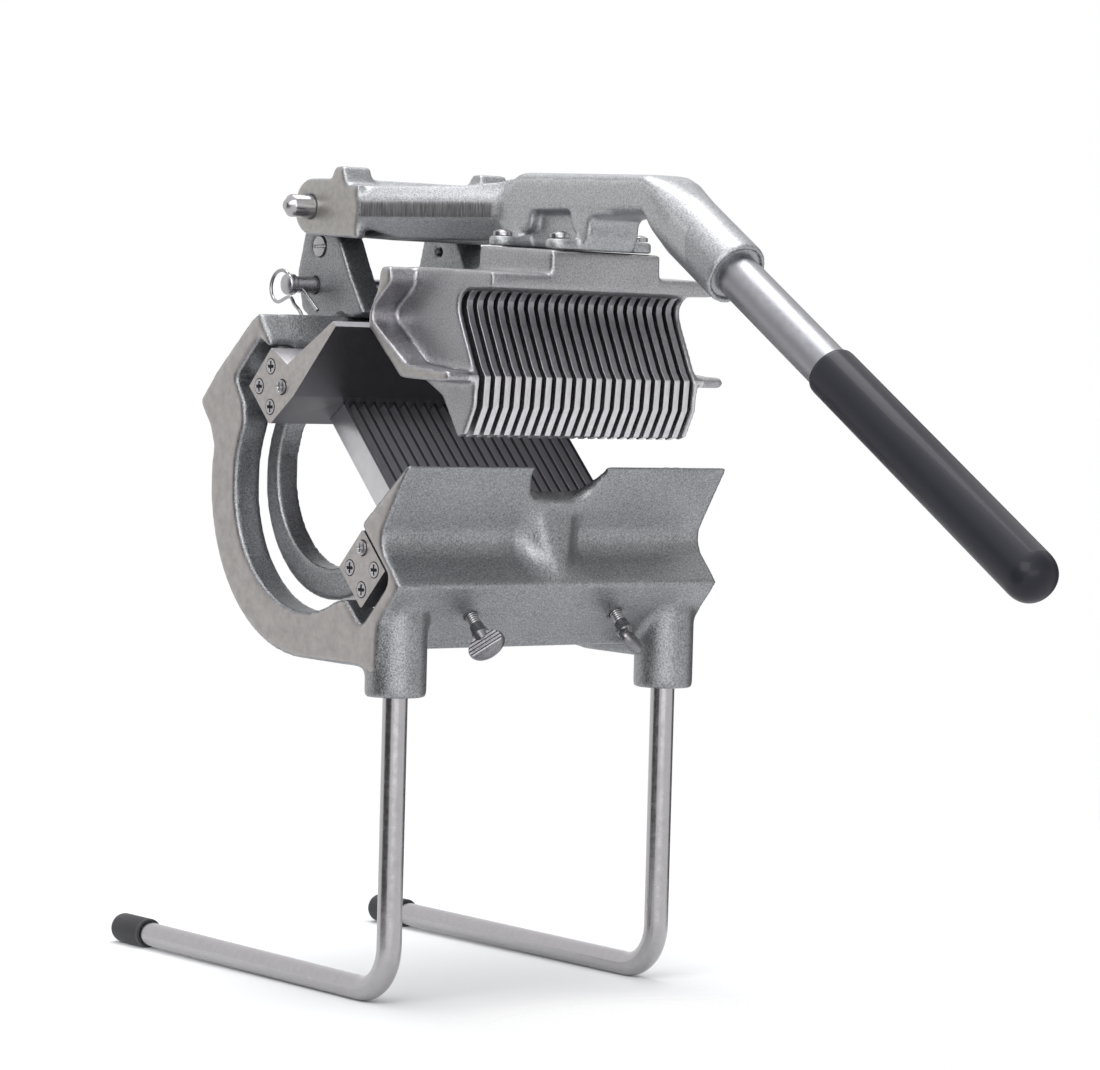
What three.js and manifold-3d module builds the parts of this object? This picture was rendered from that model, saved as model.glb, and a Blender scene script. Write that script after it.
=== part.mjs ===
// Bench-top green onion slicer: a hinged lever drives a finned pusher through a removable blade cartridge.
// Millimetres, +Z up, +X to the right of someone who holds the handle, -Y towards them.
// The pieces are laid out from the vertical legs: Y = 0 on their axes and Z = 0 under the leg bosses.
// At the end the whole slicer is moved so that its origin is the middle of its footprint.

import * as THREE from "three";
import { mergeVertices } from "three/addons/utils/BufferGeometryUtils.js";
import Module from "manifold-3d";

const wasm = await Module();
wasm.setup();

// Driving sizes of the whole slicer
const overallWidth = 204;
const rodDiameter = 12.7;
const legInset = 16;
const legDrop = 149.1;
const legReach = 254;
const legBend = 24;
const ringY = 62;
const ringZ = 102;
const ringOuter = 87;
const ringInner = 63.5;
const barSide = 28;
const barGap = 95;
const bladeCount = 22;
const hingeY = 133.7;
const hingeZ = 246.9;
const handleDrop = 33;

// Clearances between pieces
const seatGap = 0.3;
const runGap = 0.1;
const overrun = 1;
const finestEdge = 0.02;

// How finely round forms are faceted
const fineSides = 32;
const roundSides = 24;
const smallSides = 16;
const bendSteps = 10;

// Colours and finishes
const castAluminium = { color: 0x8a8b8d, roughness: 0.55, metalness: 0.9 };
const machinedAluminium = { color: 0xa5a3a1, roughness: 0.4, metalness: 0.9 };
const bladeSteel = { color: 0x4a494d, roughness: 0.3, metalness: 1 };
const stainless = { color: 0xc4c5c8, roughness: 0.22, metalness: 1 };
const satinPlate = { color: 0xa7a7ac, roughness: 0.35, metalness: 1 };
const blackVinyl = { color: 0x2b2b33, roughness: 0.25, metalness: 0 };
const greyRubber = { color: 0x4a4a4e, roughness: 0.7, metalness: 0 };

// Geometry to solid and back

function solidOf(geometry) {
  const bare = geometry.index ? geometry.toNonIndexed() : geometry.clone();
  bare.deleteAttribute("normal");
  bare.deleteAttribute("uv");
  const merged = mergeVertices(bare);
  return new wasm.Manifold(new wasm.Mesh({
    numProp: 3,
    vertProperties: merged.attributes.position.array,
    triVerts: new Uint32Array(merged.index.array),
  }));
}

function geometryOf(solid) {
  const made = solid.getMesh();
  const geometry = new THREE.BufferGeometry();
  geometry.setAttribute("position", new THREE.Float32BufferAttribute(made.vertProperties, 3));
  geometry.setIndex(Array.from(made.triVerts));
  const faceted = geometry.toNonIndexed();
  faceted.computeVertexNormals();
  return faceted;
}

const join = (first, ...others) => others.reduce((sum, next) => sum.add(next), first);
const cut = (body, ...tools) => tools.reduce((rest, tool) => rest.subtract(tool), body);

// A solid turned and moved: geometry is changed before it becomes a solid
const placed = (geometry, matrix) => solidOf(geometry.applyMatrix4(matrix));

// Axes of a side view: its first direction runs along +Y, its second along +Z, and it is extruded along +X
const sideView = new THREE.Matrix4().makeBasis(
  new THREE.Vector3(0, 1, 0), new THREE.Vector3(0, 0, 1), new THREE.Vector3(1, 0, 0));

// Axes of the blade plane, 45 degrees up to the back: along runs from the lower bar to the upper bar,
// and proud stands square off the plane towards the pusher
const alongBlades = new THREE.Vector3(0, Math.SQRT1_2, Math.SQRT1_2);
const proudOfBlades = new THREE.Vector3(0, -Math.SQRT1_2, Math.SQRT1_2);
const bladeFrame = new THREE.Matrix4().makeBasis(
  alongBlades, proudOfBlades, new THREE.Vector3(1, 0, 0));

// Centre of the lower bar, the reference point for everything on the blade plane
const lowerBarY = 9.5;
const lowerBarZ = 63.2;
bladeFrame.setPosition(0, lowerBarY, lowerBarZ);

function shapeOf(points) {
  return new THREE.Shape(points.map(([a, b]) => new THREE.Vector2(a, b)));
}

// Points of an outline whose shares follow one size, about a centre
const follow = (size, shares, centreA = 0, centreB = 0) =>
  shares.map(([a, b]) => [centreA + a * size, centreB + b * size]);

// Points of an arc, from one angle to another in degrees
function arc(centreA, centreB, radius, from, to, steps = bendSteps) {
  const angles = Array.from({ length: steps + 1 }, (_, i) => from + (to - from) * i / steps);
  return angles.map((angle) => {
    const turn = THREE.MathUtils.degToRad(angle);
    return [centreA + radius * Math.cos(turn), centreB + radius * Math.sin(turn)];
  });
}

// A side-view outline made solid between two X places
function slab(points, fromX, toX, frame = sideView) {
  const geometry = new THREE.ExtrudeGeometry(shapeOf(points), { depth: toX - fromX, bevelEnabled: false });
  geometry.translate(0, 0, fromX);
  return placed(geometry, frame);
}

// The same outline on both sides, mirrored about X = 0
const bothSides = (points, nearX, farX, frame = sideView) =>
  join(slab(points, nearX, farX, frame), slab(points, -farX, -nearX, frame));

// A round bar from one point to another
function roundBar(from, to, radius, sides = roundSides, endRadius = radius) {
  const length = from.distanceTo(to);
  const geometry = new THREE.CylinderGeometry(endRadius, radius, length, sides);
  geometry.rotateY(Math.PI / sides);
  const turn = new THREE.Quaternion().setFromUnitVectors(
    new THREE.Vector3(0, 1, 0), to.clone().sub(from).normalize());
  const middle = from.clone().add(to).multiplyScalar(1 / 2);
  return placed(geometry, new THREE.Matrix4().compose(middle, turn, new THREE.Vector3(1, 1, 1)));
}

const at = (x, y, z) => new THREE.Vector3(x, y, z);

// A bar lying along X at a side-view place
const crossBar = (fromX, toX, y, z, radius, sides = roundSides, endRadius = radius) =>
  roundBar(at(fromX, y, z), at(toX, y, z), radius, sides, endRadius);

// A wire, rod or tube along a path
function wireAlong(path, radius, steps, sides = smallSides) {
  const ring = arc(0, 0, radius, 0, 360, sides).slice(0, -1);
  return solidOf(new THREE.ExtrudeGeometry(shapeOf(ring), {
    extrudePath: path, steps, bevelEnabled: false,
  }));
}

// A block between two corners
function block(fromX, toX, fromY, toY, fromZ, toZ) {
  const geometry = new THREE.BoxGeometry(toX - fromX, toY - fromY, toZ - fromZ);
  return placed(geometry, new THREE.Matrix4().makeTranslation(
    (fromX + toX) / 2, (fromY + toY) / 2, (fromZ + toZ) / 2));
}

const slicer = new THREE.Group();

function addPiece(name, solid, finish, group = slicer) {
  const piece = new THREE.Mesh(geometryOf(solid), new THREE.MeshStandardMaterial(finish));
  piece.name = name;
  group.add(piece);
  return piece;
}

// Frame casting: two C-shaped end plates joined by a front trough with a guide wing and by a rear beam
const frameHalf = overallWidth / 2;
const plateThickness = 16.5;
const plateInnerX = frameHalf - plateThickness;
const armPlay = 0.5;
const armThickness = 13;
const armFarX = plateInnerX - armPlay;
const armNearX = armFarX - armThickness;
const rodRadius = rodDiameter / 2;
const legX = frameHalf - legInset;
const bossRadius = 15.5;
const bossHeight = 40;
const socketDepth = 34;
const barHalf = barSide / 2;
const upperBarAlong = barSide + barGap;
const upperBarProud = 2.5;
const wingShare = 2.31;
const upperWingShare = 2.33;
const upperBackShare = -0.41;

// Outer side of the end plate above the ring, as shares of the ring's outer radius about its centre
const plateBackShares = [
  [1.026, 0.333], [1.114, 0.437], [1.13, 0.482], [0.97, 0.651], [0.605, 0.959], [0.514, 1.009],
  [0.387, 0.843], [0.395, 0.803], [0.507, 0.855], [0.752, 0.624], [0.655, 0.477],
];
// Front of the plate, from its lower pocket round the trough and down to the leg boss
const platePocketShares = [
  [-0.445, -0.631], [-0.599, -0.771], [-0.706, -0.679], [-0.846, -0.529], [-0.855, -0.472],
];
const plateFrontShares = [[-0.985, -0.53], [-0.862, -0.669], [-0.777, -0.769], [-0.759, -1.011]];

const ringOuterTurn = [-90, 12];
const ringInnerTurn = [28, -118];
const plateOutline = [
  ...arc(ringY, ringZ, ringOuter, ...ringOuterTurn, 2 * bendSteps),
  ...follow(ringOuter, plateBackShares, ringY, ringZ),
  ...arc(ringY, ringZ, ringInner, ...ringInnerTurn, 2 * bendSteps),
  ...follow(ringOuter, platePocketShares, ringY, ringZ),
  ...follow(ringOuter, plateFrontShares, ringY, ringZ),
];

// Front trough and guide wing on the blade plane's axes, as shares of the bar's side
const troughFit = barHalf + seatGap;
const troughFrontShares = [
  [-0.93, -0.98], [-1.085, -1], [-1.055, 0.085], [-1.02, 0.66], [-0.32, 0.69],
  [-0.1, 0.77], [0.03, 0.93], [0.1, 1.2],
  [0.33, 2.25], [0.41, wingShare], [0.593, 0.568],
];
const troughOutline = [
  ...follow(barSide, troughFrontShares),
  [troughFit + seatGap, troughFit], [-troughFit, troughFit], [-troughFit, -barHalf],
];
// Room round the lower bar where it passes the end plates
const lowerPocketShares = [
  [-0.61, 0.512], [-0.714, 0.357], [-0.725, -0.286], [-0.707, -0.725], [0.55, -0.76], [0.55, 0.512],
];

// Rear beam behind the upper bar
const beamSeat = upperBarAlong + barHalf + seatGap;
const beamShares = [
  [0.018, 0.57], [0.1, 0.661], [0.746, 0.75], [0.907, 0.5], [0.907, -1.75], [0.45, -1.82],
  [0.5, -0.75], [0, -0.32], [0, 0.5],
];
const beamOutline = follow(barSide, beamShares, beamSeat, 0);

// Notch that lets the handle arm down through the guide wing, and the rib under it
const wingHeight = wingShare * barSide;
const notchDepthShare = 0.33;
const notchFloor = wingHeight * (1 - notchDepthShare);
const notchHalf = 23;
const notchFloorHalf = 16.5;
const notchCorner = 8;
const ribRidgeHalf = 1.5;
const ribRootHalf = 12;
const ribShares = [[0.22, 1.5], [-0.95, 0.675], [-0.02, 0.5]];
const ribRootShares = [[0.22, 1.5], [-0.6, 0.6], [-0.02, 0.5]];
const nickX = 65;
const nickHalf = 1.6;

function notchTool(halfTop, halfFloor, floor, top, nearAlong, farAlong) {
  const side = [
    [-halfTop, top], [-halfTop, floor + 2 * notchCorner],
    [-halfFloor - notchCorner / 4, floor + notchCorner / 2], [-halfFloor + notchCorner / 2, floor],
  ];
  const whole = [...side, ...side.map(([x, proud]) => [-x, proud]).reverse()];
  const geometry = new THREE.ExtrudeGeometry(shapeOf(whole), {
    depth: farAlong - nearAlong, bevelEnabled: false,
  });
  geometry.translate(0, 0, nearAlong);
  const frame = new THREE.Matrix4().makeBasis(new THREE.Vector3(-1, 0, 0), proudOfBlades, alongBlades);
  frame.setPosition(0, lowerBarY, lowerBarZ);
  return placed(geometry, frame);
}

// Pin lugs on the beam
const pinY = 137.6;
const pinZ = 205.7;
const pinRadius = 4.5;
const lugNearX = 16;
const lugFarX = 30;
const lugRadius = 9.5;
const lugTurn = [-20, 190];
const lugFootShares = [[-2, -2.55], [-0.2, -4.65]];

const lugOutline = [
  ...arc(pinY, pinZ, lugRadius, ...lugTurn, bendSteps),
  ...follow(lugRadius, lugFootShares, pinY, pinZ),
];

// Thumb screw places on the trough
const thumbX = 46.4;
const thumbProud = -4;
const thumbRadius = 3;
const onBladeFrame = (x, along, proud) => at(0, lowerBarY, lowerBarZ)
  .addScaledVector(alongBlades, along).addScaledVector(proudOfBlades, proud).setX(x);

function legBoss(side) {
  const boss = new THREE.CylinderGeometry(bossRadius, bossRadius, bossHeight, fineSides);
  boss.rotateX(Math.PI / 2);
  boss.translate(side * legX, 0, bossHeight / 2);
  const dome = new THREE.SphereGeometry(bossRadius, fineSides, smallSides / 2);
  dome.rotateX(Math.PI / 2);
  dome.translate(side * legX, 0, bossHeight);
  return join(solidOf(boss), solidOf(dome));
}

function frameCasting() {
  let frame = join(
    bothSides(plateOutline, plateInnerX, frameHalf),
    slab(troughOutline, -frameHalf, frameHalf, bladeFrame),
    slab(beamOutline, -plateInnerX - overrun, plateInnerX + overrun, bladeFrame),
    wasm.Manifold.hull([
      slab(follow(barSide, ribShares), -ribRidgeHalf, ribRidgeHalf, bladeFrame),
      slab(follow(barSide, ribRootShares), -ribRootHalf, ribRootHalf, bladeFrame),
    ]),
    bothSides(lugOutline, lugNearX, lugFarX),
    legBoss(-1), legBoss(1),
  );
  frame = cut(frame,
    bothSides(follow(barSide, lowerPocketShares), plateInnerX, frameHalf + overrun, bladeFrame),
    notchTool(notchHalf, notchFloorHalf, notchFloor, wingHeight + barSide, -barSide, 2 * barSide),
    crossBar(-lugFarX - overrun, lugFarX + overrun, pinY, pinZ, pinRadius + runGap),
  );
  for (const side of [-1, 1]) {
    const socketTop = at(side * legX, 0, socketDepth + seatGap);
    const socketMouth = at(side * legX, 0, -overrun);
    const screwIn = onBladeFrame(side * thumbX, -barHalf, thumbProud);
    const screwOut = onBladeFrame(side * thumbX, -2 * barSide, thumbProud);
    frame = cut(frame,
      roundBar(socketMouth, socketTop, rodRadius + runGap),
      roundBar(screwOut, screwIn, thumbRadius + runGap, smallSides),
      slab([[0, wingHeight + nickHalf], [barHalf, wingHeight - nickHalf], [barSide, wingHeight + nickHalf]],
        side * nickX - nickHalf, side * nickX + nickHalf, bladeFrame),
    );
  }
  // The two bars and the cartridge slide through, so the bosses and plates are opened for the lower bar
  return cut(frame, slab(
    [[-troughFit, -troughFit], [troughFit + seatGap, -troughFit],
      [troughFit + seatGap, troughFit], [-troughFit, troughFit]],
    -frameHalf - overrun, frameHalf + overrun, bladeFrame));
}
addPiece("frame_casting", frameCasting(), castAluminium);

// Legs: one bent rod each side, from the boss down and back along the bench, climbing a little to the caps
const capRadius = 7.95;
const capLength = 30;
const capEnd = 4;
const flatShare = Math.cos(Math.PI / roundSides);
const runRise = (capRadius - rodRadius) * flatShare;

function legRod(side) {
  const x = side * legX;
  const runZ = -legDrop;
  const bend = arc(legBend, runZ + legBend, legBend, 180, 270, bendSteps).map(([y, z]) => at(x, y, z));
  const rodEnd = at(x, legReach - capEnd - seatGap, runZ + runRise);
  return sweepRod([at(x, 0, socketDepth), ...bend, rodEnd], rodRadius, at(1, 0, 0));
}

// A round section carried through points that lie in one plane, mitred at each, and closed at both ends
function sweepRod(points, radius, planeNormal, sides = roundSides) {
  const rings = points.map((point, i) => {
    const before = points[Math.max(i - 1, 0)];
    const after = points[Math.min(i + 1, points.length - 1)];
    const intoPoint = point.clone().sub(before).normalize();
    const outOfPoint = after.clone().sub(point).normalize();
    const along = intoPoint.clone().add(outOfPoint).normalize();
    const across = planeNormal.clone().cross(along);
    const straight = i > 0 && i < points.length - 1 ? intoPoint : along;
    const mitre = 1 / straight.dot(along);
    return arc(0, 0, radius, 180 / sides, 360 + 180 / sides, sides).slice(0, -1).map(([a, b]) =>
      point.clone().addScaledVector(planeNormal, a).addScaledVector(across, b * mitre));
  });
  return loft(rings);
}

// A closed skin over rings of equal counts, flat at both ends
function loft(rings) {
  const sides = rings[0].length;
  const positions = rings.flat().flatMap((p) => p.toArray());
  const faces = [];
  for (let i = 0; i + 1 < rings.length; i += 1) {
    for (let j = 0; j < sides; j += 1) {
      const a = i * sides + j;
      const b = i * sides + (j + 1) % sides;
      faces.push(a, b + sides, b, a, a + sides, b + sides);
    }
  }
  const last = (rings.length - 1) * sides;
  for (let j = 1; j + 1 < sides; j += 1) faces.push(0, j, j + 1, last, last + j + 1, last + j);
  const geometry = new THREE.BufferGeometry();
  geometry.setAttribute("position", new THREE.Float32BufferAttribute(positions, 3));
  geometry.setIndex(faces);
  return solidOf(geometry);
}

const runAngle = Math.atan2(runRise, legReach - capEnd - legBend);
const runDirection = at(0, Math.cos(runAngle), Math.sin(runAngle));

function legCap(side) {
  const rodEnd = at(side * legX, legReach - capEnd - seatGap, runRise - legDrop);
  const mouth = rodEnd.clone().addScaledVector(at(0, 1, 0), -(capLength - capEnd));
  const shoulder = rodEnd.clone();
  const tip = rodEnd.clone().addScaledVector(at(0, 1, 0), capEnd + seatGap);
  const outside = join(
    roundBar(mouth, shoulder, capRadius),
    roundBar(shoulder, tip, capRadius, roundSides, capRadius - capEnd),
  );
  const boreEnd = rodEnd.clone().addScaledVector(runDirection, seatGap);
  const boreStart = rodEnd.clone().addScaledVector(runDirection, -2 * capLength);
  return cut(outside, roundBar(boreStart, boreEnd, rodRadius + 2 * runGap));
}
for (const [label, side] of [["left", -1], ["right", 1]]) {
  addPiece("leg_" + label, legRod(side), stainless);
  addPiece("leg_cap_" + label, legCap(side), greyRubber);
}

// Blade cartridge: two bars, the C-shaped side arms behind the blades, and the blades in their slots
const cartridge = new THREE.Group();
slicer.add(cartridge);
const barEndInset = 0.5;
const finGap = 2.6;
const endPlateThickness = 3.2;
const endPlay = 0.825;
const bladeRoom = 2 * (armNearX - endPlay - endPlateThickness) - finGap;
const bladePitch = bladeRoom / (bladeCount - 1);
const barEndX = frameHalf - barEndInset;
const bladeThickness = 0.8;
const bladeWidth = 16;
const bladeProud = 2.2;
const bladeSeat = 6;
const slotGap = 0.2;
const bladePlace = (i) => (i - (bladeCount - 1) / 2) * bladePitch;

// The upper bar carries the upper guide wing, whose root forms a V with the bar's top corner
const upperBarShares = [
  [-0.5, -0.36], [-0.45, upperBackShare], [0.5, upperBackShare], [0.5, 0.59], [-0.085, 0.757],
  [-0.53, upperWingShare], [-0.66, upperWingShare], [-0.643, 0.511],
];
const upperBarOutline = follow(barSide, upperBarShares, upperBarAlong, 0);
const upperNotchHalf = 30;
const upperNotchFloorHalf = 26;
const upperNotchDepthShare = 0.46;
const upperWingTop = upperWingShare * barSide;
const cornerEase = 1;
const lowerBarOutline = [
  [-barHalf, -barHalf + cornerEase], [-barHalf + cornerEase, -barHalf], [barHalf, -barHalf],
  [barHalf, barHalf - cornerEase], [barHalf - cornerEase, barHalf], [-barHalf, barHalf],
];

function bladeSlots(fromAlong, toAlong) {
  const low = bladeProud - bladeWidth / 2 - slotGap;
  const high = bladeProud + bladeWidth / 2 + slotGap;
  const half = bladeThickness / 2 + slotGap;
  const outline = [[fromAlong, low], [toAlong, low], [toAlong, high], [fromAlong, high]];
  return Array.from({ length: bladeCount }, (_, i) =>
    slab(outline, bladePlace(i) - half, bladePlace(i) + half, bladeFrame));
}

// Screw holes in the bar ends: three countersunk and one raised, set in a diamond
const endScrewSpread = 7.35;
const endScrewRadius = 3;
const endHeadRadius = 3.8;
const endHeadHeight = 2.2;
const endScrewLength = 12;

function endScrewPlace(bar, side) {
  return bar === "upper"
    ? onBladeFrame(side * barEndX, upperBarAlong - endScrewSpread, upperBarProud + endScrewSpread)
    : onBladeFrame(side * barEndX, endScrewSpread, endScrewSpread);
}

function endScrewHole(bar, side) {
  const mouth = endScrewPlace(bar, side).setX(side * (barEndX + overrun));
  const bottom = endScrewPlace(bar, side).setX(side * (barEndX - endScrewLength - seatGap));
  return roundBar(mouth, bottom, endScrewRadius / 2 + runGap, smallSides);
}

const upperBar = cut(
  slab(upperBarOutline, -barEndX, barEndX, bladeFrame),
  notchTool(upperNotchHalf, upperNotchFloorHalf, upperWingTop * (1 - upperNotchDepthShare),
    upperWingTop + barSide, upperBarAlong - barSide, upperBarAlong + barSide),
  ...bladeSlots(upperBarAlong - barSide, upperBarAlong - barHalf + bladeSeat + slotGap),
  endScrewHole("upper", -1), endScrewHole("upper", 1),
);
const lowerBar = cut(
  slab(lowerBarOutline, -barEndX, barEndX, bladeFrame),
  ...bladeSlots(barHalf - bladeSeat - slotGap, barSide),
  endScrewHole("lower", -1), endScrewHole("lower", 1),
);
addPiece("upper_blade_bar", upperBar, machinedAluminium, cartridge);
addPiece("lower_blade_bar", lowerBar, machinedAluminium, cartridge);

for (const bar of ["upper", "lower"]) {
  for (const [label, side] of [["left", -1], ["right", 1]]) {
    const face = endScrewPlace(bar, side);
    const headSeat = face.clone().setX(side * (barEndX + runGap));
    const crown = face.clone().setX(side * (barEndX + endHeadHeight));
    const insideHead = face.clone().setX(side * (barEndX + endHeadHeight / 2));
    const shankEnd = face.clone().setX(side * (barEndX - endScrewLength));
    const screw = join(
      roundBar(headSeat, crown, endHeadRadius, smallSides, endHeadRadius - endHeadHeight / 2),
      roundBar(insideHead, shankEnd, endScrewRadius / 2, smallSides),
    );
    addPiece(bar + "_bar_screw_" + label, screw, stainless, cartridge);
  }
}

// Side arms: curved flat bars behind the blades, outside the pusher and inside the end plates
const armOuter = 61;
const armInner = 47.5;
const armFrom = -132;
const armTo = 46;
const armShiftShares = [[-0.008, 0.049], [0.032, 0.095]];
const armFootDeep = 5.4;

function sideArm(side) {
  const [outerShift, innerShift] = follow(armOuter, armShiftShares, ringY, ringZ);
  const sector = [
    ...arc(...outerShift, armOuter, armFrom, armTo, 2 * bendSteps),
    ...arc(...innerShift, armInner, armTo, armFrom, 2 * bendSteps),
  ];
  const foot = [
    [-barHalf / 3, -barHalf - seatGap], [barHalf, -barHalf - seatGap],
    [barSide, -barHalf - armFootDeep], [0, -barHalf - armFootDeep],
  ];
  const lowerClear = -barHalf - seatGap;
  const upperClear = upperBackShare * barSide - seatGap;
  const clearOfBars = [
    [-barSide, lowerClear], [2 * barSide, lowerClear], [2 * barSide, upperClear],
    [upperBarAlong + barSide, upperClear], [upperBarAlong + barSide, 2 * barSide], [-barSide, 2 * barSide],
  ];
  const near = side < 0 ? -armFarX : armNearX;
  const far = side < 0 ? -armNearX : armFarX;
  return cut(
    join(slab(sector, near, far), slab(foot, near, far, bladeFrame)),
    slab(clearOfBars, near - overrun, far + overrun, bladeFrame),
  );
}
addPiece("cartridge_arm_left", sideArm(-1), castAluminium, cartridge);
addPiece("cartridge_arm_right", sideArm(1), castAluminium, cartridge);

const bladeLow = bladeProud - bladeWidth / 2;
const bladeHigh = bladeProud + bladeWidth / 2;
const bladeStart = barHalf - bladeSeat;
const bladeEnd = upperBarAlong - barHalf + bladeSeat;
const bladeOutline = [
  [bladeStart, bladeLow], [bladeEnd, bladeLow], [bladeEnd, bladeHigh], [bladeStart, bladeHigh],
];
for (let i = 0; i < bladeCount; i += 1) {
  const near = bladePlace(i) - bladeThickness / 2;
  const blade = slab(bladeOutline, near, near + bladeThickness, bladeFrame);
  addPiece("blade_" + String(i + 1).padStart(2, "0"), blade, bladeSteel, cartridge);
}

// Thumb screws that push the cartridge's lower bar home through the trough
const thumbShank = 28;
const thumbHeadLong = 20;
const thumbHeadTall = 14;
const thumbHeadThick = 4.5;
const thumbTurns = { left: 35, right: -20 };

function thumbScrew(side, turn) {
  const tip = onBladeFrame(side * thumbX, -barHalf - seatGap, thumbProud);
  const neck = onBladeFrame(side * thumbX, -barHalf - seatGap - thumbShank, thumbProud);
  const oval = new THREE.CylinderGeometry(1, 1, 1, roundSides);
  oval.scale(thumbHeadLong / 2, thumbHeadThick, thumbHeadTall / 2);
  const frame = new THREE.Matrix4().makeBasis(
    new THREE.Vector3(1, 0, 0), proudOfBlades, alongBlades.clone().negate());
  oval.applyMatrix4(new THREE.Matrix4().makeTranslation(0, 0, thumbHeadTall / 2 - overrun));
  oval.applyMatrix4(new THREE.Matrix4().makeRotationZ(THREE.MathUtils.degToRad(turn)));
  frame.setPosition(neck);
  return join(roundBar(tip, neck, thumbRadius, smallSides), placed(oval, frame));
}
addPiece("thumb_screw_left", thumbScrew(-1, thumbTurns.left), stainless);
addPiece("thumb_screw_right", thumbScrew(1, thumbTurns.right), stainless);

// Hinge bracket: two ears that carry the hinge rod, pinned to the frame's lugs
const hingeRadius = 6;
const earNearX = 31;
const earFarX = 47;
const earEye = 12;
const bracketBase = 50;
const eyeTurn = [-28, 200];
const earFrontShares = [[-0.366, -0.322], [-0.584, -0.72], [-0.85, -1.12]];
const earFootShares = [[-0.62, -0.99], [-0.35, -1.13], [0.03, -1.25], [0.3, -1.08]];
const earBackShares = [[0.406, -0.698], [0.235, -0.13]];
const earShares = [...earFrontShares, ...earFootShares, ...earBackShares];
const earOutline = [
  ...arc(hingeY, hingeZ, earEye, ...eyeTurn, bendSteps),
  ...follow(bracketBase, earShares, hingeY, hingeZ),
];
const lockY = 133.2;
const lockZ = 226.2;
const lockHeadRadius = 5.4;
const lockHeadHeight = 4;
const lockRadius = 2.5;
const lockSlot = 1.2;
const webShares = [[-0.85, -1.12], [-0.62, -0.99], [-0.52, -1.03], [-0.42, -1.2]];

// Everything of the bracket stays clear of the beam's upper face and of its front edge
const beamClearShares = [[0, -3], [0.918, -3], [0.918, 0.5], [0.76, 0.771], [-0.2, 0.671], [-2, -3]];
const beamClear = follow(barSide, beamClearShares, beamSeat, 0);
const bracket = cut(
  join(
    bothSides(earOutline, earNearX, earFarX),
    slab(follow(bracketBase, webShares, hingeY, hingeZ), -earFarX, earFarX),
  ),
  crossBar(-earFarX - overrun, earFarX + overrun, hingeY, hingeZ, hingeRadius + runGap),
  crossBar(-earFarX - overrun, earFarX + overrun, pinY, pinZ, pinRadius + runGap),
  slab(beamClear, -earFarX - overrun, earFarX + overrun, bladeFrame),
  lockHole(-1), lockHole(1),
);
addPiece("hinge_bracket", bracket, castAluminium);

function lockHole(side) {
  const outside = side * (earFarX + overrun);
  return join(
    crossBar(side * (earNearX - overrun), outside, lockY, lockZ, lockRadius + runGap, smallSides),
    crossBar(side * (earFarX - lockHeadHeight - runGap), outside, lockY, lockZ, lockHeadRadius + seatGap),
  );
}

const hingeTipX = 69;
const hingeTipEase = 3.6;
const hingeTipRadius = hingeRadius - hingeTipEase;
const hingeTipStart = hingeTipX - hingeTipEase;
addPiece("hinge_rod", join(
  crossBar(-hingeTipStart, hingeTipStart, hingeY, hingeZ, hingeRadius),
  crossBar(-hingeTipStart, -hingeTipX, hingeY, hingeZ, hingeRadius, roundSides, hingeTipRadius),
  crossBar(hingeTipStart, hingeTipX, hingeY, hingeZ, hingeRadius, roundSides, hingeTipRadius),
), stainless);

// Slotted screws that lock the rod, sunk flush in the ears
for (const [label, side] of [["left", -1], ["right", 1]]) {
  const face = side * (earFarX - runGap);
  const underHead = side * (earFarX - lockHeadHeight);
  const slotInner = side * (earFarX - lockSlot);
  const slotOuter = side * (earFarX + overrun);
  addPiece("lock_screw_" + label, cut(
    join(
      crossBar(underHead, face, lockY, lockZ, lockHeadRadius),
      crossBar(side * (earNearX + seatGap), underHead, lockY, lockZ, lockRadius, smallSides),
    ),
    block(Math.min(slotInner, slotOuter), Math.max(slotInner, slotOuter),
      lockY - 2 * lockHeadRadius, lockY + 2 * lockHeadRadius, lockZ - lockSlot / 2, lockZ + lockSlot / 2),
  ), stainless);
}

// Removable pin through ears and lugs, with its spring clip
const pinHeadRadius = 5.6;
const pinHeadFromX = -60;
const pinHeadToX = -64;
const pinTipX = 50;
const clipHoleX = -56;
const clipWire = 1;
const clipTilt = 38;
const clipFall = THREE.MathUtils.degToRad(clipTilt);
const clipAlong = at(0, -Math.cos(clipFall), -Math.sin(clipFall));
const clipAcross = at(0, clipAlong.z, -clipAlong.y);
const onClip = (x, along, across) => at(x, pinY, pinZ)
  .addScaledVector(clipAlong, along).addScaledVector(clipAcross, across);

const pinChamfer = 1;
const pinHeadTip = pinHeadRadius - pinChamfer;
const pinShaft = join(
  crossBar(pinHeadFromX, pinTipX, pinY, pinZ, pinRadius),
  crossBar(pinHeadToX, pinHeadFromX + overrun, pinY, pinZ, pinHeadRadius),
  crossBar(pinHeadToX, pinHeadToX - pinChamfer, pinY, pinZ, pinHeadRadius, roundSides, pinHeadTip),
  crossBar(pinTipX, pinTipX + pinChamfer, pinY, pinZ, pinRadius, roundSides, pinRadius - pinChamfer),
);
const clipHole = roundBar(
  onClip(clipHoleX, -2 * pinHeadRadius, 0), onClip(clipHoleX, 2 * pinHeadRadius, 0),
  clipWire + runGap, smallSides);
addPiece("clevis_pin", cut(pinShaft, clipHole), stainless);

// The clip's wire: a straight leg through the pin, a ring behind the pin, and a second leg below it
const clipLeg = 22;
const straightShares = [1, 0.5, 0.136, -0.136, -0.295];
const ringRadius = 8.4;
const ringAlong = -12.3;
const ringAcross = -10.6;
const ringFrom = 75;
const ringTo = 325;
const clipDrift = 2.6;
const secondLegShares = [[0, -0.976], [0.714, -1.024], [1.43, -0.976], [2.02, -1.12]];

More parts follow.
